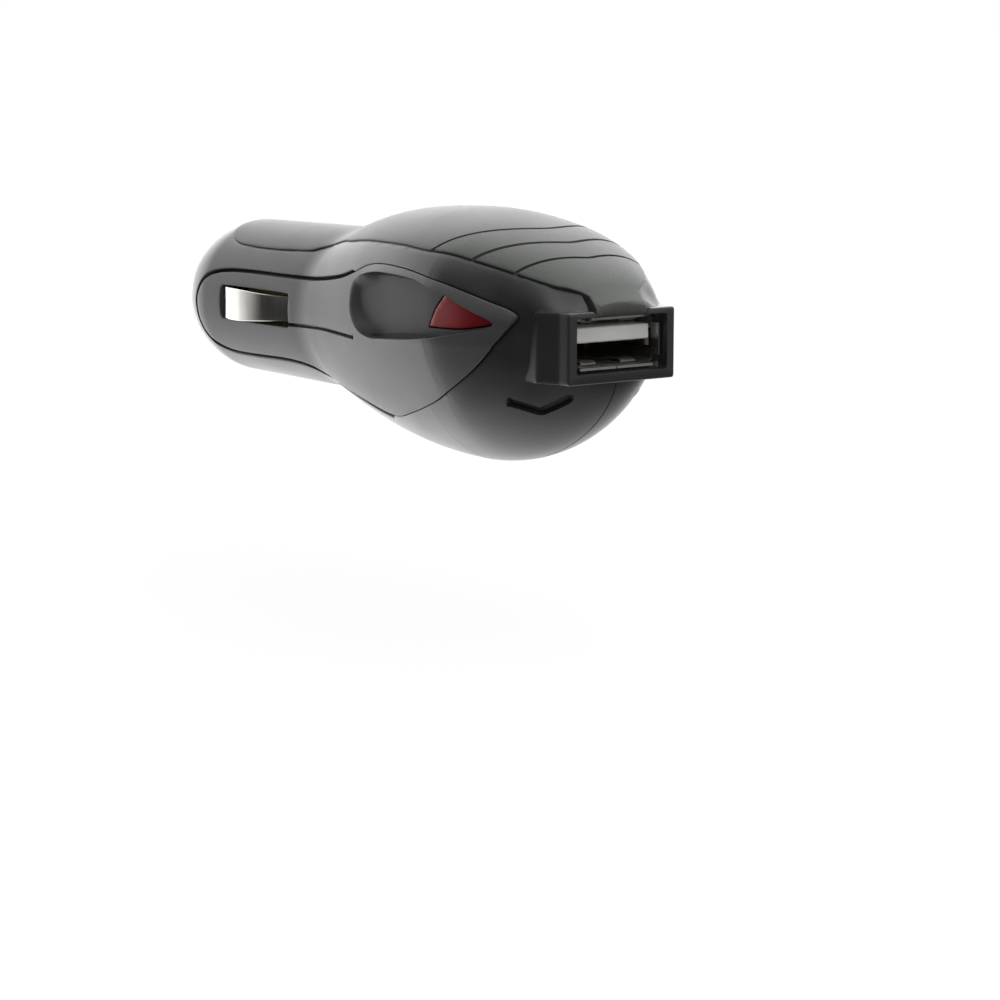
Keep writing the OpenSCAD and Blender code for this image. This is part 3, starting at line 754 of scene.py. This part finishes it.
# %% How deep the front sinks
def sheet_height(loop):
    return skin(loop)[:, 2]


front_edge = skin(panel_loop[(s_of(panel_loop[:, 0]) < 30) & (sheet_height(panel_loop) < 4.5)])
VALLEY_DEEP, VALLEY_WIDE = 0.7, 5.0
HOLLOWS = [((9.3, 4.6, -4.9), (2.4, 3.2, 2.2), 0.3), ((8.9, 4.2, -0.2), (3.0, 4.0, 2.7), 1.1),
           ((6.6, 2.2, 5.1), (2.4, 2.6, 1.8), 0.55)]


def sink_at(places):
    away, where = nearest(places, front_edge)
    sink = VALLEY_DEEP * (1 - smooth((where - 9) / 20)) * (1 - smooth(away / VALLEY_WIDE)) ** 1.2
    for centre, radii, deep in HOLLOWS:
        sink = sink + deep * np.exp(-(((places - centre) / radii) ** 2).sum(1))
    return sink * smooth((places[:, 1] - 0.5) / 1.2)


def sunk(uv, depth=0.0):
    places = skin(uv)
    return places - outward(uv) * (sink_at(places) + depth)[:, None]

# %% Find the collar's root
root_v = np.linspace(-TOP, TOP, 420)
low_u, high_u = np.full_like(root_v, 0.02), np.full_like(root_v, float(u_of(9)))
for _ in range(22):
    mid_u = (low_u + high_u) / 2
    out = outside_collar(sunk(columns(mid_u, root_v))) > 0
    low_u, high_u = np.where(out, low_u, mid_u), np.where(out, mid_u, high_u)
root_u = (low_u + high_u) / 2
root_place = sunk(columns(root_u, root_v))
root_angle = np.arctan2(root_place[:, 2] - MIDDLE_Z, root_place[:, 0])
print("collar root from", round(float(s_of(root_u.min())), 2), "to", round(float(s_of(root_u.max())), 2))


def corner_line(height, down, across):
    """A line along a corner of the collar, at a distance from the exact corner on each side."""
    s = np.linspace(0.02, COLLAR_ROOT, 60)
    z = COLLAR_Z + height * (COLLAR_H / 2 - down)
    angle = np.arctan2(z - MIDDLE_Z, collar_half(s) - across)
    line = columns(u_of(s), angle * TURN)
    return line[line[:, 0] < np.interp(line[:, 1], root_v, root_u)]


for height in (1, -1):
    for down, across in ((COLLAR_CORNER, 0), (0.09, 0.09), (0, COLLAR_CORNER)):
        shell_lines.append(corner_line(height, down, across))
root_line = columns(root_u, root_v)
shell_lines.append(root_line[np.abs(root_v) < TOP - 0.05])

# %% Outline of a housing half, with the notch for the pad's tab
NOTCH_HALF, NOTCH_S, FRONT_ROWS = 4.4, 3.4, (0.05, 0.12, 0.22, 0.6, 1.1)
notch_s = np.linspace(0, NOTCH_S, 26)
notch_v = np.maximum(from_above(columns(NOTCH_HALF, notch_s))[:, 1],
                     math.atan2(COLLAR_Z + COLLAR_H / 2 - MIDDLE_Z, NOTCH_HALF) * TURN)
notch_u = float(u_of(NOTCH_S))
edge_v = np.linspace(-TOP, TOP, 130)


def run(u, v):
    """A straight run of points on the sheet, without its last point."""
    return np.stack(np.broadcast_arrays(u, v), 1)[:-1]


shell_outline = np.concatenate([
    run(np.linspace(0, U_END, 330), -TOP), run(U_END, edge_v), run(np.linspace(U_END, notch_u, 310), TOP),
    run(notch_u, np.linspace(TOP, notch_v[-1], 24)), run(u_of(notch_s)[::-1], notch_v[::-1]),
    run(0.0, np.linspace(notch_v[0], -TOP, 90))])
front_rows = [run(u, edge_v)[1:] for u in FRONT_ROWS]
shell_uv, shell_tris = fill(shell_outline, shell_lines + front_rows, [slot_loop, eye_opening])
print("housing half:", len(shell_uv), "points on the sheet")

# %% Place the housing's outside
pad_area = closed_over_top(pad_pocket)


def lip(uv, line, area, closed):
    """Depth beside a pocket's edge: 0 outside, a small round, and the pocket's full depth inside."""
    gap = distance_to(uv, line, closed)
    return np.where(inside(uv, area) & (gap > 0), POCKET, edge_round(gap, LIP_ROUND))


depth = np.maximum(lip(shell_uv, pad_area, pad_area, False), lip(shell_uv, panel_pocket, panel_pocket, True))
parting_gap = np.abs(skin(shell_uv)[:, 0])
depth = np.maximum(depth, PARTING_DEEP * np.maximum(1 - parting_gap / PARTING_HALF, 0))
chin_away = distance_to(shell_uv, chin_line, closed=False)
depth = np.maximum(depth, CHIN_DEEP * smooth((CHIN_HALF + 0.12 - chin_away) / 0.15))
shell_outer = sunk(shell_uv, depth)
root_here = np.interp(shell_uv[:, 1], root_v, root_u)
on_collar = shell_uv[:, 0] < root_here - 1e-6
share = (s_of(shell_uv[:, 0]) / s_of(root_here))[on_collar]
turn = (shell_uv[:, 1] / TURN)[on_collar]
root_y = np.interp(shell_uv[:, 1], root_v, root_place[:, 1])[on_collar]
root_turn = np.interp(shell_uv[:, 1], root_v, root_angle)[on_collar]
shell_outer[on_collar] = collar_place(share * root_y, turn + share ** 2 * (root_turn - turn))
print("the pockets are", round(float(depth.max()), 2), "mm deep")

# %% Place the housing's inside and make both halves
OPENING_TOP, OPENING_LOW, OPENING_HALF, MARGIN_DEEP = 3.12, -3.48, 6.85, 1.7
SOCKET_W, SOCKET_H, SHEET, SOCKET_ROOM = 12.5, 5.12, 0.3, 0.05
WALL, FOOT_ROOM, TIP_HOLE_R, END_WALL_S = 2.2, 0.4, 3.05, 79


def straight_cut(inner, outer, away, near=0.3, far=0.9):
    """Lets the walls of a slot run straight in from the side, and not towards the axis."""
    straight = smooth((far - away) / (far - near))
    inner[:, 2] += (outer[:, 2] - inner[:, 2]) * straight
    return inner


s_here, angle_here = s_of(shell_uv[:, 0]), shell_uv[:, 1] / TURN
narrow = smooth((s_here - MARGIN_DEEP + 0.3) / 0.4)
top_here = OPENING_TOP - narrow * (OPENING_TOP - SOCKET_H / 2 - SHEET - SOCKET_ROOM)
low_here = OPENING_LOW - narrow * (OPENING_LOW + SOCKET_H / 2 + SHEET + SOCKET_ROOM)
half_here = OPENING_HALF - narrow * (OPENING_HALF - SOCKET_W / 2 - SHEET - SOCKET_ROOM)
middle = MIDDLE_Z * headness(s_here)
opening = box_radius(half_here, (top_here - low_here) / 2, (top_here + low_here) / 2, 0.4, angle_here, middle)
front_in = columns(opening * np.cos(angle_here), s_here, middle + opening * np.sin(angle_here))
foot_room = FOOT_ROOM * smooth((s_here - 45) / 2) * smooth((56 - s_here) / 2)
deep = skin(shell_uv) - outward(shell_uv) * (WALL - foot_room)[:, None]
tight = np.hypot(deep[:, 0], deep[:, 2])
deep[:, ::2] *= (np.maximum(tight, TIP_HOLE_R) / tight)[:, None]
deep[:, 1] = np.where(s_here > END_WALL_S, s_here, deep[:, 1])
mixing = smooth((s_here - 3) / 5)[:, None]
shell_inner = front_in * (1 - mixing) + deep * mixing
shell_inner = straight_cut(shell_inner, shell_outer, distance_to(shell_uv, slot_loop))
for side in (shell_outer, shell_inner):
    side[:, 0] = np.maximum(side[:, 0], 0.0)
both_sides("shell_moulding", "shell", shell_outer, shell_inner, shell_tris, "shell_plastic", SHELL)

# %% [markdown]
# ## The soft pad
# The pad is a thin skin of softer plastic that stands a hair proud of the housing. Three V-shaped grooves
# cross it. They could be a bump texture, but a groove this wide shows its walls from the side, so it is
# cut into the mesh: each groove has rows of points along it, and their depth follows a round section.

# %% Grooves and edge of the pad
CHEVRONS = [(13.85, 6.2, 12.65, 1.45), (9.75, 3.9, 11.5, 1.2), (6.35, 1.8, 9.1, 1.0)]
GROOVE_HALF, GROOVE_DEEP, PAD_ROUND = 0.2, 0.4, 0.16


def chevron(middle, climb, wide, power, off=0.0):
    """A line across the back that starts at a distance behind the collar and climbs to both sides."""
    x = np.linspace(-1.12, 1.12, 131) * wide
    far = np.sqrt(x * x + 0.3) - math.sqrt(0.3)
    s = middle + off + climb * (far / wide) ** power
    ok = np.abs(x) < 0.985 * reach(s)
    x, s = x[ok], s[ok]
    sheet = from_above(columns(np.abs(x), s))
    sheet[:, 1] = np.where(x < 0, 2 * TOP - sheet[:, 1], sheet[:, 1])
    return sheet


pad_loop = anticlockwise(closed_over_top(pad_right[1:]))
pad_lines = [ringed(shifted(pad_loop, off)) for off in (0.04, 0.09, PAD_ROUND)]
groove_area = shifted(pad_loop, 0.2)
for shape in CHEVRONS:
    for off in (-0.24, -0.18, -0.1, 0.0, 0.1, 0.18, 0.24):
        line = chevron(*shape, off)
        pad_lines.append(line[inside(line, groove_area)])
pad_uv, pad_tris = fill(pad_loop, pad_lines)
pad_depth = edge_round(distance_to(pad_uv, pad_loop), PAD_ROUND)
for shape in CHEVRONS:
    away = distance_to(pad_uv, chevron(*shape), closed=False)
    pad_depth = np.maximum(pad_depth, GROOVE_DEEP * np.sqrt(np.maximum(1 - (away / GROOVE_HALF) ** 2, 0)))
print("the pad has", len(pad_uv), "points on the sheet")

# %% Turn the pad's front down into the tab
TAB_FROM = 2.4
TAB_PROFILE = [(TAB_FROM, 6.78), (1.6, 6.0), (0.95, 5.35), (0.5, 4.93), (0.22, 4.62), (0.12, 4.25),
               (0.09, 3.75), (0.09, 3.2)]
tab_line = even(curve(TAB_PROFILE), 0.05)[::-1]
tab_u = float(u_of(TAB_FROM))
tab_at = np.linspace(0, tab_u, len(tab_line))
tab_along = unit(np.gradient(tab_line, axis=0))
pad_skin, pad_out = skin(pad_uv), outward(pad_uv)
u_here = np.minimum(pad_uv[:, 0], tab_u)
tab_s, tab_z = (np.interp(u_here, tab_at, tab_line[:, k]) for k in (0, 1))
ds, dz = (np.interp(u_here, tab_at, tab_along[:, k]) for k in (0, 1))
root_row = skin(columns(tab_u, pad_uv[:, 1]))
crown = (skin(np.array([[tab_u, TOP]]))[0, 2] - root_row[:, 2]) * (0.2 + 0.8 * u_here / tab_u)
tab_place = columns(pad_skin[:, 0], tab_s, tab_z - crown)
tab_out = columns(np.zeros_like(ds), -dz, ds)
in_tab = smooth((tab_u - pad_uv[:, 0]) / 0.8)[:, None]
base = (pad_skin + pad_out * PAD_PROUD) * (1 - in_tab) + tab_place * in_tab
facing = unit(pad_out * (1 - in_tab) + tab_out * in_tab)
pad_outer = base - facing * pad_depth[:, None]
pad_inner = base - facing * (POCKET - UNDER_GAP + PAD_PROUD)
closed_piece("top_pad_skin", pad_outer, pad_inner, pad_tris, False, body="housing", slot="pad_soft",
             stands_for="top_pad", finish=PAD)

# %% [markdown]
# ## The side panels
# Each panel carries the recess behind the brow, with the red lens in it, and the slot of the side contact.
# The recess is cut straight in from the side, so its floor is given by its depth seen from above. A fine
# slit runs from the slot to the recess, where the real panel's two plates meet.

# %% Floor of the recess and the panel's sheet
SLOT_CORNER, SLIT_HALF, SLIT_DEEP = 0.6, 0.24, 0.6
SLIT_POINTS = [(SLOT_FROM + 0.1, -1.8), (50, -1.62), (45, -1.42), (40, -1.5), (35.6, -1.62)]
floor_top = curve(FLOOR_POINTS)
order = np.argsort(floor_top[:, 1])


def floor_x(s):
    return np.interp(s, floor_top[order, 1], floor_top[order, 0])


def oblong(half_a, half_b, corner, steps=5):
    """A rounded oblong, anticlockwise."""
    ring = []
    for sa, sb, start in ((1, 1, 0), (-1, 1, 90), (-1, -1, 180), (1, -1, 270)):
        for t in np.radians(start + np.linspace(0, 90, steps)):
            ring.append((sa * (half_a - corner) + corner * math.cos(t),
                         sb * (half_b - corner) + corner * math.sin(t)))
    return np.array(ring)


slit = from_side(even(curve(SLIT_POINTS), 0.3))
slot_side = oblong((SLOT_TO - SLOT_FROM) / 2, SLOT_HALF, SLOT_CORNER, 7) + [(SLOT_FROM + SLOT_TO) / 2, 0]
slot_panel = anticlockwise(from_side(even(slot_side, 0.25, closed=True)))
lens_hole = shifted(lens_loop, -0.14)
panel_lines = []
for loop, offsets in ((panel_loop, (0.03, 0.07, 0.13)), (eye_loop, (-0.3, -0.22, -0.1, -0.05, -0.015, 0.02)),
                      (slot_panel, (-0.04, -0.1))):
    panel_lines += [ringed(shifted(loop, off)) for off in offsets]
panel_lines += [shifted(slit, off, closed=False)[1:] for off in (-0.26, -0.2, -0.12, 0.0, 0.12, 0.2, 0.26)]
panel_uv, panel_tris = fill(panel_loop, panel_lines, [slot_panel, lens_hole], step=0.42)
print("a panel has", len(panel_uv), "points on the sheet")

# %% Depth of the panel's edges, slit and brow
BROW_FALL, BROW_WIDE = 0.28, 2.0
panel_skin, panel_out = skin(panel_uv), outward(panel_uv)
eye_gap, in_eye = distance_to(panel_uv, eye_loop), inside(panel_uv, eye_loop)
slot_gap = distance_to(panel_uv, slot_panel)
panel_depth = np.maximum(edge_round(distance_to(panel_uv, panel_loop), 0.13), edge_round(slot_gap, 0.1))
recessed = smooth((34.5 - panel_skin[:, 1]) / 4)
panel_depth = np.maximum(panel_depth, np.where(in_eye, 0, edge_round(eye_gap, 0.1) * recessed))
slit_away = distance_to(panel_uv, slit[1:], closed=False)
panel_depth = np.maximum(panel_depth, SLIT_DEEP * smooth((SLIT_HALF - slit_away) / 0.1))
brow_edge = panel_loop[(s_of(panel_loop[:, 0]) < 36) & (sheet_height(panel_loop) > 3.6)]
brow_away = distance_to(panel_uv, brow_edge, closed=False)
brow_share = smooth((36 - panel_skin[:, 1]) / 8) * smooth((panel_skin[:, 2] - 0.5) / 3)
panel_depth = panel_depth - BROW_FALL * np.minimum(brow_away, BROW_WIDE) * brow_share
print("the brow stands", round(float(-panel_depth.min()), 2), "mm proud")

# %% Sink the recess and make both panels
FLOOR_THICK, MERGE = 1.1, 0.02
panel_outer = panel_skin - panel_out * panel_depth[:, None]
panel_inner = straight_cut(panel_skin - panel_out * (POCKET - UNDER_GAP), panel_skin, slot_gap)
ahead = floor_x(panel_skin[:, 1]) - panel_outer[:, 0]
merge = MERGE + 0.3 * smooth((panel_skin[:, 1] - 29) / 5)
floor_here = panel_outer[:, 0] + (ahead - np.sqrt(ahead ** 2 + merge ** 2)) / 2
fade = smooth(eye_gap / 1.5) * (1 - recessed) + recessed
panel_outer[in_eye, 0] += ((floor_here - panel_outer[:, 0]) * fade)[in_eye]
near_eye = in_eye | (eye_gap < 0.26)
panel_inner[near_eye, 0] = np.minimum(panel_inner[near_eye, 0], floor_here[near_eye] - FLOOR_THICK)
both_sides("panel_moulding", "side_panel", panel_outer, panel_inner, panel_tris, "panel_plastic", PANEL)

# %% Red lenses
LENS_ROUND, LENS_THICK = 0.13, 1.25
lens_rings = [ringed(shifted(lens_loop, off)) for off in (0.06, LENS_ROUND)]
lens_uv, lens_tris = fill(lens_loop, lens_rings, step=0.4)
lens_outer = skin(lens_uv)
lens_floor = floor_x(lens_outer[:, 1])
lens_inner = lens_outer.copy()
lens_outer[:, 0] = lens_floor - edge_round(distance_to(lens_uv, lens_loop), LENS_ROUND)
lens_inner[:, 0] = lens_floor - LENS_THICK
both_sides("red_lens", "eye_lens", lens_outer, lens_inner, lens_tris, "lens_red", LENS)

# %% [markdown]
# ## The side contacts
# Each contact is a bowed strip of nickel-plated spring sheet that stands out of its slot. It narrows towards
# its fixed end, and its edges were rounded by tumbling, which gives the bright lines along them. The strip is
# swept along its bow, seen from above, with a rounded oblong as its section.

# %% Sweep a bowed strip
def swept(places_of_ring, count):
    """Places and faces of a tube of rings with flat ends."""
    last = (len(places_of_ring) - 1) * count
    pairs = [(i, (i + 1) % count) for i in range(count)]
    faces = [(k + i, k + j, k + count + j, k + count + i) for k in range(0, last, count) for i, j in pairs]
    faces += [tuple(range(count))[::-1], tuple(range(last, last + count))]
    return np.concatenate(places_of_ring), faces


LEAF_BOW = [(7.45, 48.5), (7.45, 51.5), (7.5, 54.3), (8.95, 56.6), (10.6, 59.6), (11.25, 63.4), (11.05, 66.9),
            (10.1, 69.4), (8.7, 70.1)]
LEAF_THICK, LEAF_HALF_ROOT, LEAF_HALF_END, LEAF_ROUND = 0.4, 1.7, 2.1, 0.17
FOOT_X, FOOT_S, FOOT_HALF, FOOT_LOW = 7.25, 50.25, 1.25, -2.53
bow = even(curve(LEAF_BOW), 0.22)
along = unit(np.gradient(bow, axis=0))
leaf_rings = []
for (x, s), (ax, ay) in zip(bow, along):
    half = LEAF_HALF_ROOT + (LEAF_HALF_END - LEAF_HALF_ROOT) * float(smooth((s - 57) / 9))
    ring = oblong(LEAF_THICK / 2, half, LEAF_ROUND)
    across = ring[:, 0] - LEAF_THICK / 2
    leaf_rings.append(columns(x + across * ay, s - across * ax, ring[:, 1]))
leaf_places, leaf_faces = swept(leaf_rings, len(leaf_rings[0]))
foot = oblong(FOOT_HALF, LEAF_THICK / 2, 0.05)
foot_rings = [columns(FOOT_X + foot[:, 1], FOOT_S + foot[:, 0], z)
              for z in (0.0, FOOT_LOW)]
foot_places, foot_faces = swept(foot_rings, len(foot))
leaf_faces += [tuple(len(leaf_places) + i for i in f) for f in foot_faces]
leaf_places = np.concatenate([leaf_places, foot_places])
for side in ("left", "right"):
    places, faces = mirrored(leaf_places, leaf_faces) if side == "left" else (leaf_places, leaf_faces)
    make_mesh(side + "_contact_strip", places, faces, body=side + "_contact", slot="contact_nickel",
              stands_for=side + "_ground_contact", finish=NICKEL)

# %% [markdown]
# ## The socket's metal shell
# The shell is folded from thin sheet with a seam below. Its mouth has four lips that flare a little, and
# spring fingers are cut out of its walls and bent inwards, so that they grip the plug. The folded sheet is
# laid out as a grid of its girth and its length. Cells are left out where the press cut the metal.

# %% Lay out the sheet
SHELL_HALF_W, SHELL_HALF_H, FOLD_R, SEAM_HALF = 6.55, 2.86, 0.6, 0.07
LIP_TOP, LIP_LOW, LIP_SIDE, FLARE = 3.85, 5.5, 1.9, 0.24
FINGER_AT, FINGER_HALF, SIDE_FINGER_HALF, CUT = 3.0, 1.15, 0.9, 0.28
GIRTH_X = [SEAM_HALF, 0.9, FINGER_AT - FINGER_HALF - CUT, FINGER_AT - FINGER_HALF, 2.4, 3.0, 3.5, LIP_TOP,
           FINGER_AT + FINGER_HALF, FINGER_AT + FINGER_HALF + CUT, 5.0, LIP_LOW, SHELL_HALF_W - FOLD_R]
GIRTH_Z = [0, 0.45, SIDE_FINGER_HALF, SIDE_FINGER_HALF + CUT, 1.5, LIP_SIDE, SHELL_HALF_H - FOLD_R]
LENGTH_S = [1.0, 1.1, 1.25, 1.45, 1.8, 2.3, 2.6, 2.85, 3.1, 3.35, 3.6, 4.2, 5, 6, 7, 8, 8.3, 10, 12, 14.6]
BODY_S, FINGER_TIP, FINGER_ROOT = 2.3, 2.6, 8.0
FINGER_BEND = [(2.6, 0.08), (2.85, 0.26), (3.1, 0.36), (3.35, 0.38), (3.6, 0.36), (8.0, 0.0)]


def girth():
    """Points round the sheet from one side of the seam to the other, with the way out at each."""
    flat = [(x, -SHELL_HALF_H, 0, -1) for x in GIRTH_X]
    fold = [(SHELL_HALF_W - FOLD_R + FOLD_R * math.sin(t), -SHELL_HALF_H + FOLD_R - FOLD_R * math.cos(t),
             math.sin(t), -math.cos(t)) for t in np.linspace(0, math.pi / 2, 6)[1:-1]]
    wall = [(SHELL_HALF_W, -z, 1, 0) for z in GIRTH_Z[::-1]]
    quarter = flat + fold + wall
    upper = [(x, -z, nx, -nz) for x, z, nx, nz in quarter[:-1][::-1]]
    half = quarter + upper
    half[-1] = (0.0, SHELL_HALF_H, 0, 1)
    return np.array(half + [(-x, z, -nx, nz) for x, z, nx, nz in half[:-1][::-1]])


ring = girth()
is_top, is_low = ring[:, 3] > 0.99, ring[:, 3] < -0.99
is_wall = np.abs(ring[:, 2]) > 0.99


def cell_tags(x, z, top, low, wall):
    """For a cell's middle: is it behind a lip, in a finger, or in the cut beside a finger."""
    behind_lip = (top and abs(x) < LIP_TOP) or (low and abs(x) < LIP_LOW) or (wall and abs(z) < LIP_SIDE)
    off = abs(abs(x) - FINGER_AT) - FINGER_HALF if (top or low) else abs(z) - SIDE_FINGER_HALF
    flat = top or low or wall
    return behind_lip, flat and off < 0, flat and 0 < off < CUT


rows, n_s = np.array(LENGTH_S), len(LENGTH_S)
finger_bend = np.interp(rows, *zip(*FINGER_BEND)) * (rows >= FINGER_TIP)
sheet_tris, bend = [], np.zeros((len(ring), n_s))
for i in range(len(ring) - 1):
    x, z = (ring[i, :2] + ring[i + 1, :2]) / 2
    tags = [bool(t[i] and t[i + 1]) for t in (is_top, is_low, is_wall)]
    behind_lip, in_finger, in_cut = cell_tags(x, z, *tags)
    if in_finger:
        bend[i:i + 2] = finger_bend
    for k in range(n_s - 1):
        s_mid = (LENGTH_S[k] + LENGTH_S[k + 1]) / 2
        cut_to = FINGER_ROOT if in_cut else FINGER_TIP if in_finger else BODY_S
        if BODY_S < s_mid < cut_to or (s_mid < BODY_S and not behind_lip):
            continue
        a, b = i * n_s + k, (i + 1) * n_s + k
        sheet_tris += [(a, a + 1, b + 1), (a, b + 1, b)]
flare = (1 - smooth((rows - 1.0) / 0.7))[None, :] * np.where(is_wall, 0.06, FLARE)[:, None] - bend
sheet_outer = np.stack([ring[:, None, 0] + ring[:, None, 2] * flare, np.broadcast_to(rows, flare.shape),
                        ring[:, None, 1] + ring[:, None, 3] * flare], 2).reshape(-1, 3)
way_in = np.repeat(columns(ring[:, 2], np.zeros(len(ring)), ring[:, 3]), n_s, 0) * SHEET
used, sheet_tris = np.unique(np.array(sheet_tris), return_inverse=True)
sheet_tris = sheet_tris.reshape(-1, 3)
closed_piece("usb_shell_sheet", sheet_outer[used], (sheet_outer - way_in)[used], sheet_tris, False,
             body="housing", slot="socket_steel", stands_for="usb_shell", finish=SHEET_METAL)

# %% The socket's tongue
TONGUE_HALF_W, TONGUE_LOW, TONGUE_TOP, TONGUE_ROUND = 5.5, 0.02, 1.83, 0.25
TONGUE_FRONT, TONGUE_BACK, LEAST_ROUND = 1.7, 14.0, 0.02
tongue_half, tongue_middle = (TONGUE_TOP - TONGUE_LOW) / 2, (TONGUE_TOP + TONGUE_LOW) / 2
stops = [(TONGUE_FRONT + TONGUE_ROUND * (1 - math.sin(t)), TONGUE_ROUND * (1 - math.cos(t)))
         for t in np.radians([90, 70, 50, 30, 0])] + [(TONGUE_BACK, 0)]
tongue_rings = []
for s, inset in stops:
    ring = oblong(TONGUE_HALF_W - inset, tongue_half - inset, max(LEAST_ROUND, TONGUE_ROUND - inset / 2))
    tongue_rings.append(columns(-ring[:, 0], s, ring[:, 1] + tongue_middle))
tongue_places, tongue_faces = swept(tongue_rings, len(tongue_rings[0]))
make_mesh("usb_tongue_moulding", tongue_places, tongue_faces, body="housing", slot="tongue_white",
          stands_for="usb_tongue", finish=TONGUE)

# %% [markdown]
# ## Parts that keep their CAD shape
# The exact solids inside the housing are right as they are. They only get a finish of their own.

# %% Finishes for the remaining nodes
CARRIED = {
    "contact_nickel": NICKEL,
    "spring_steel": finish("drawn_wire", (0.5, 0.5, 0.48), 0.3, metal=1.0, grain=0.1),
    "socket_steel": SHEET_METAL,
    "seat_brass": finish("stamped_brass", (0.6, 0.45, 0.2), 0.32, metal=1.0, grain=0.1),
    "board_green": finish("solder_mask", (0.02, 0.12, 0.05), 0.35, grain=0.3, grain_size=0.6, coat=0.2),
    "tongue_white": TONGUE,
    "pin_gold": finish("gold_flash", (0.72, 0.52, 0.2), 0.25, metal=1.0, grain=0.1),
    "ferrite": finish("sintered_ferrite", (0.05, 0.05, 0.055), 0.7, grain=0.8, grain_size=0.15),
    "winding_copper": finish("copper_wire", (0.5, 0.2, 0.07), 0.35, metal=1.0, grain=0.6, stretch=(1, 1, 12)),
    "can_sleeve": finish("capacitor_sleeve", (0.03, 0.04, 0.09), 0.3, grain=0.1),
    "chip_black": finish("moulded_epoxy", (0.025, 0.025, 0.025), 0.6, grain=0.5, grain_size=0.1),
    "chip_ceramic": finish("ceramic", (0.35, 0.25, 0.15), 0.5, grain=0.3, grain_size=0.1),
    "led_red": finish("red_epoxy", (0.5, 0.04, 0.04), 0.12, grain=0.05),
    "lead_red": finish("red_insulation", (0.4, 0.02, 0.02), 0.45, grain=0.2),
}
slot_of = {part["node"]: part["material_slot"] for part in frame["record"]["subparts"]}
for name, node in frame["nodes"].items():
    if slot_of[name] in CARRIED:
        node.data.materials.clear()
        node.data.materials.append(CARRIED[slot_of[name]])
print("finishes in all:", len(bpy.data.materials))
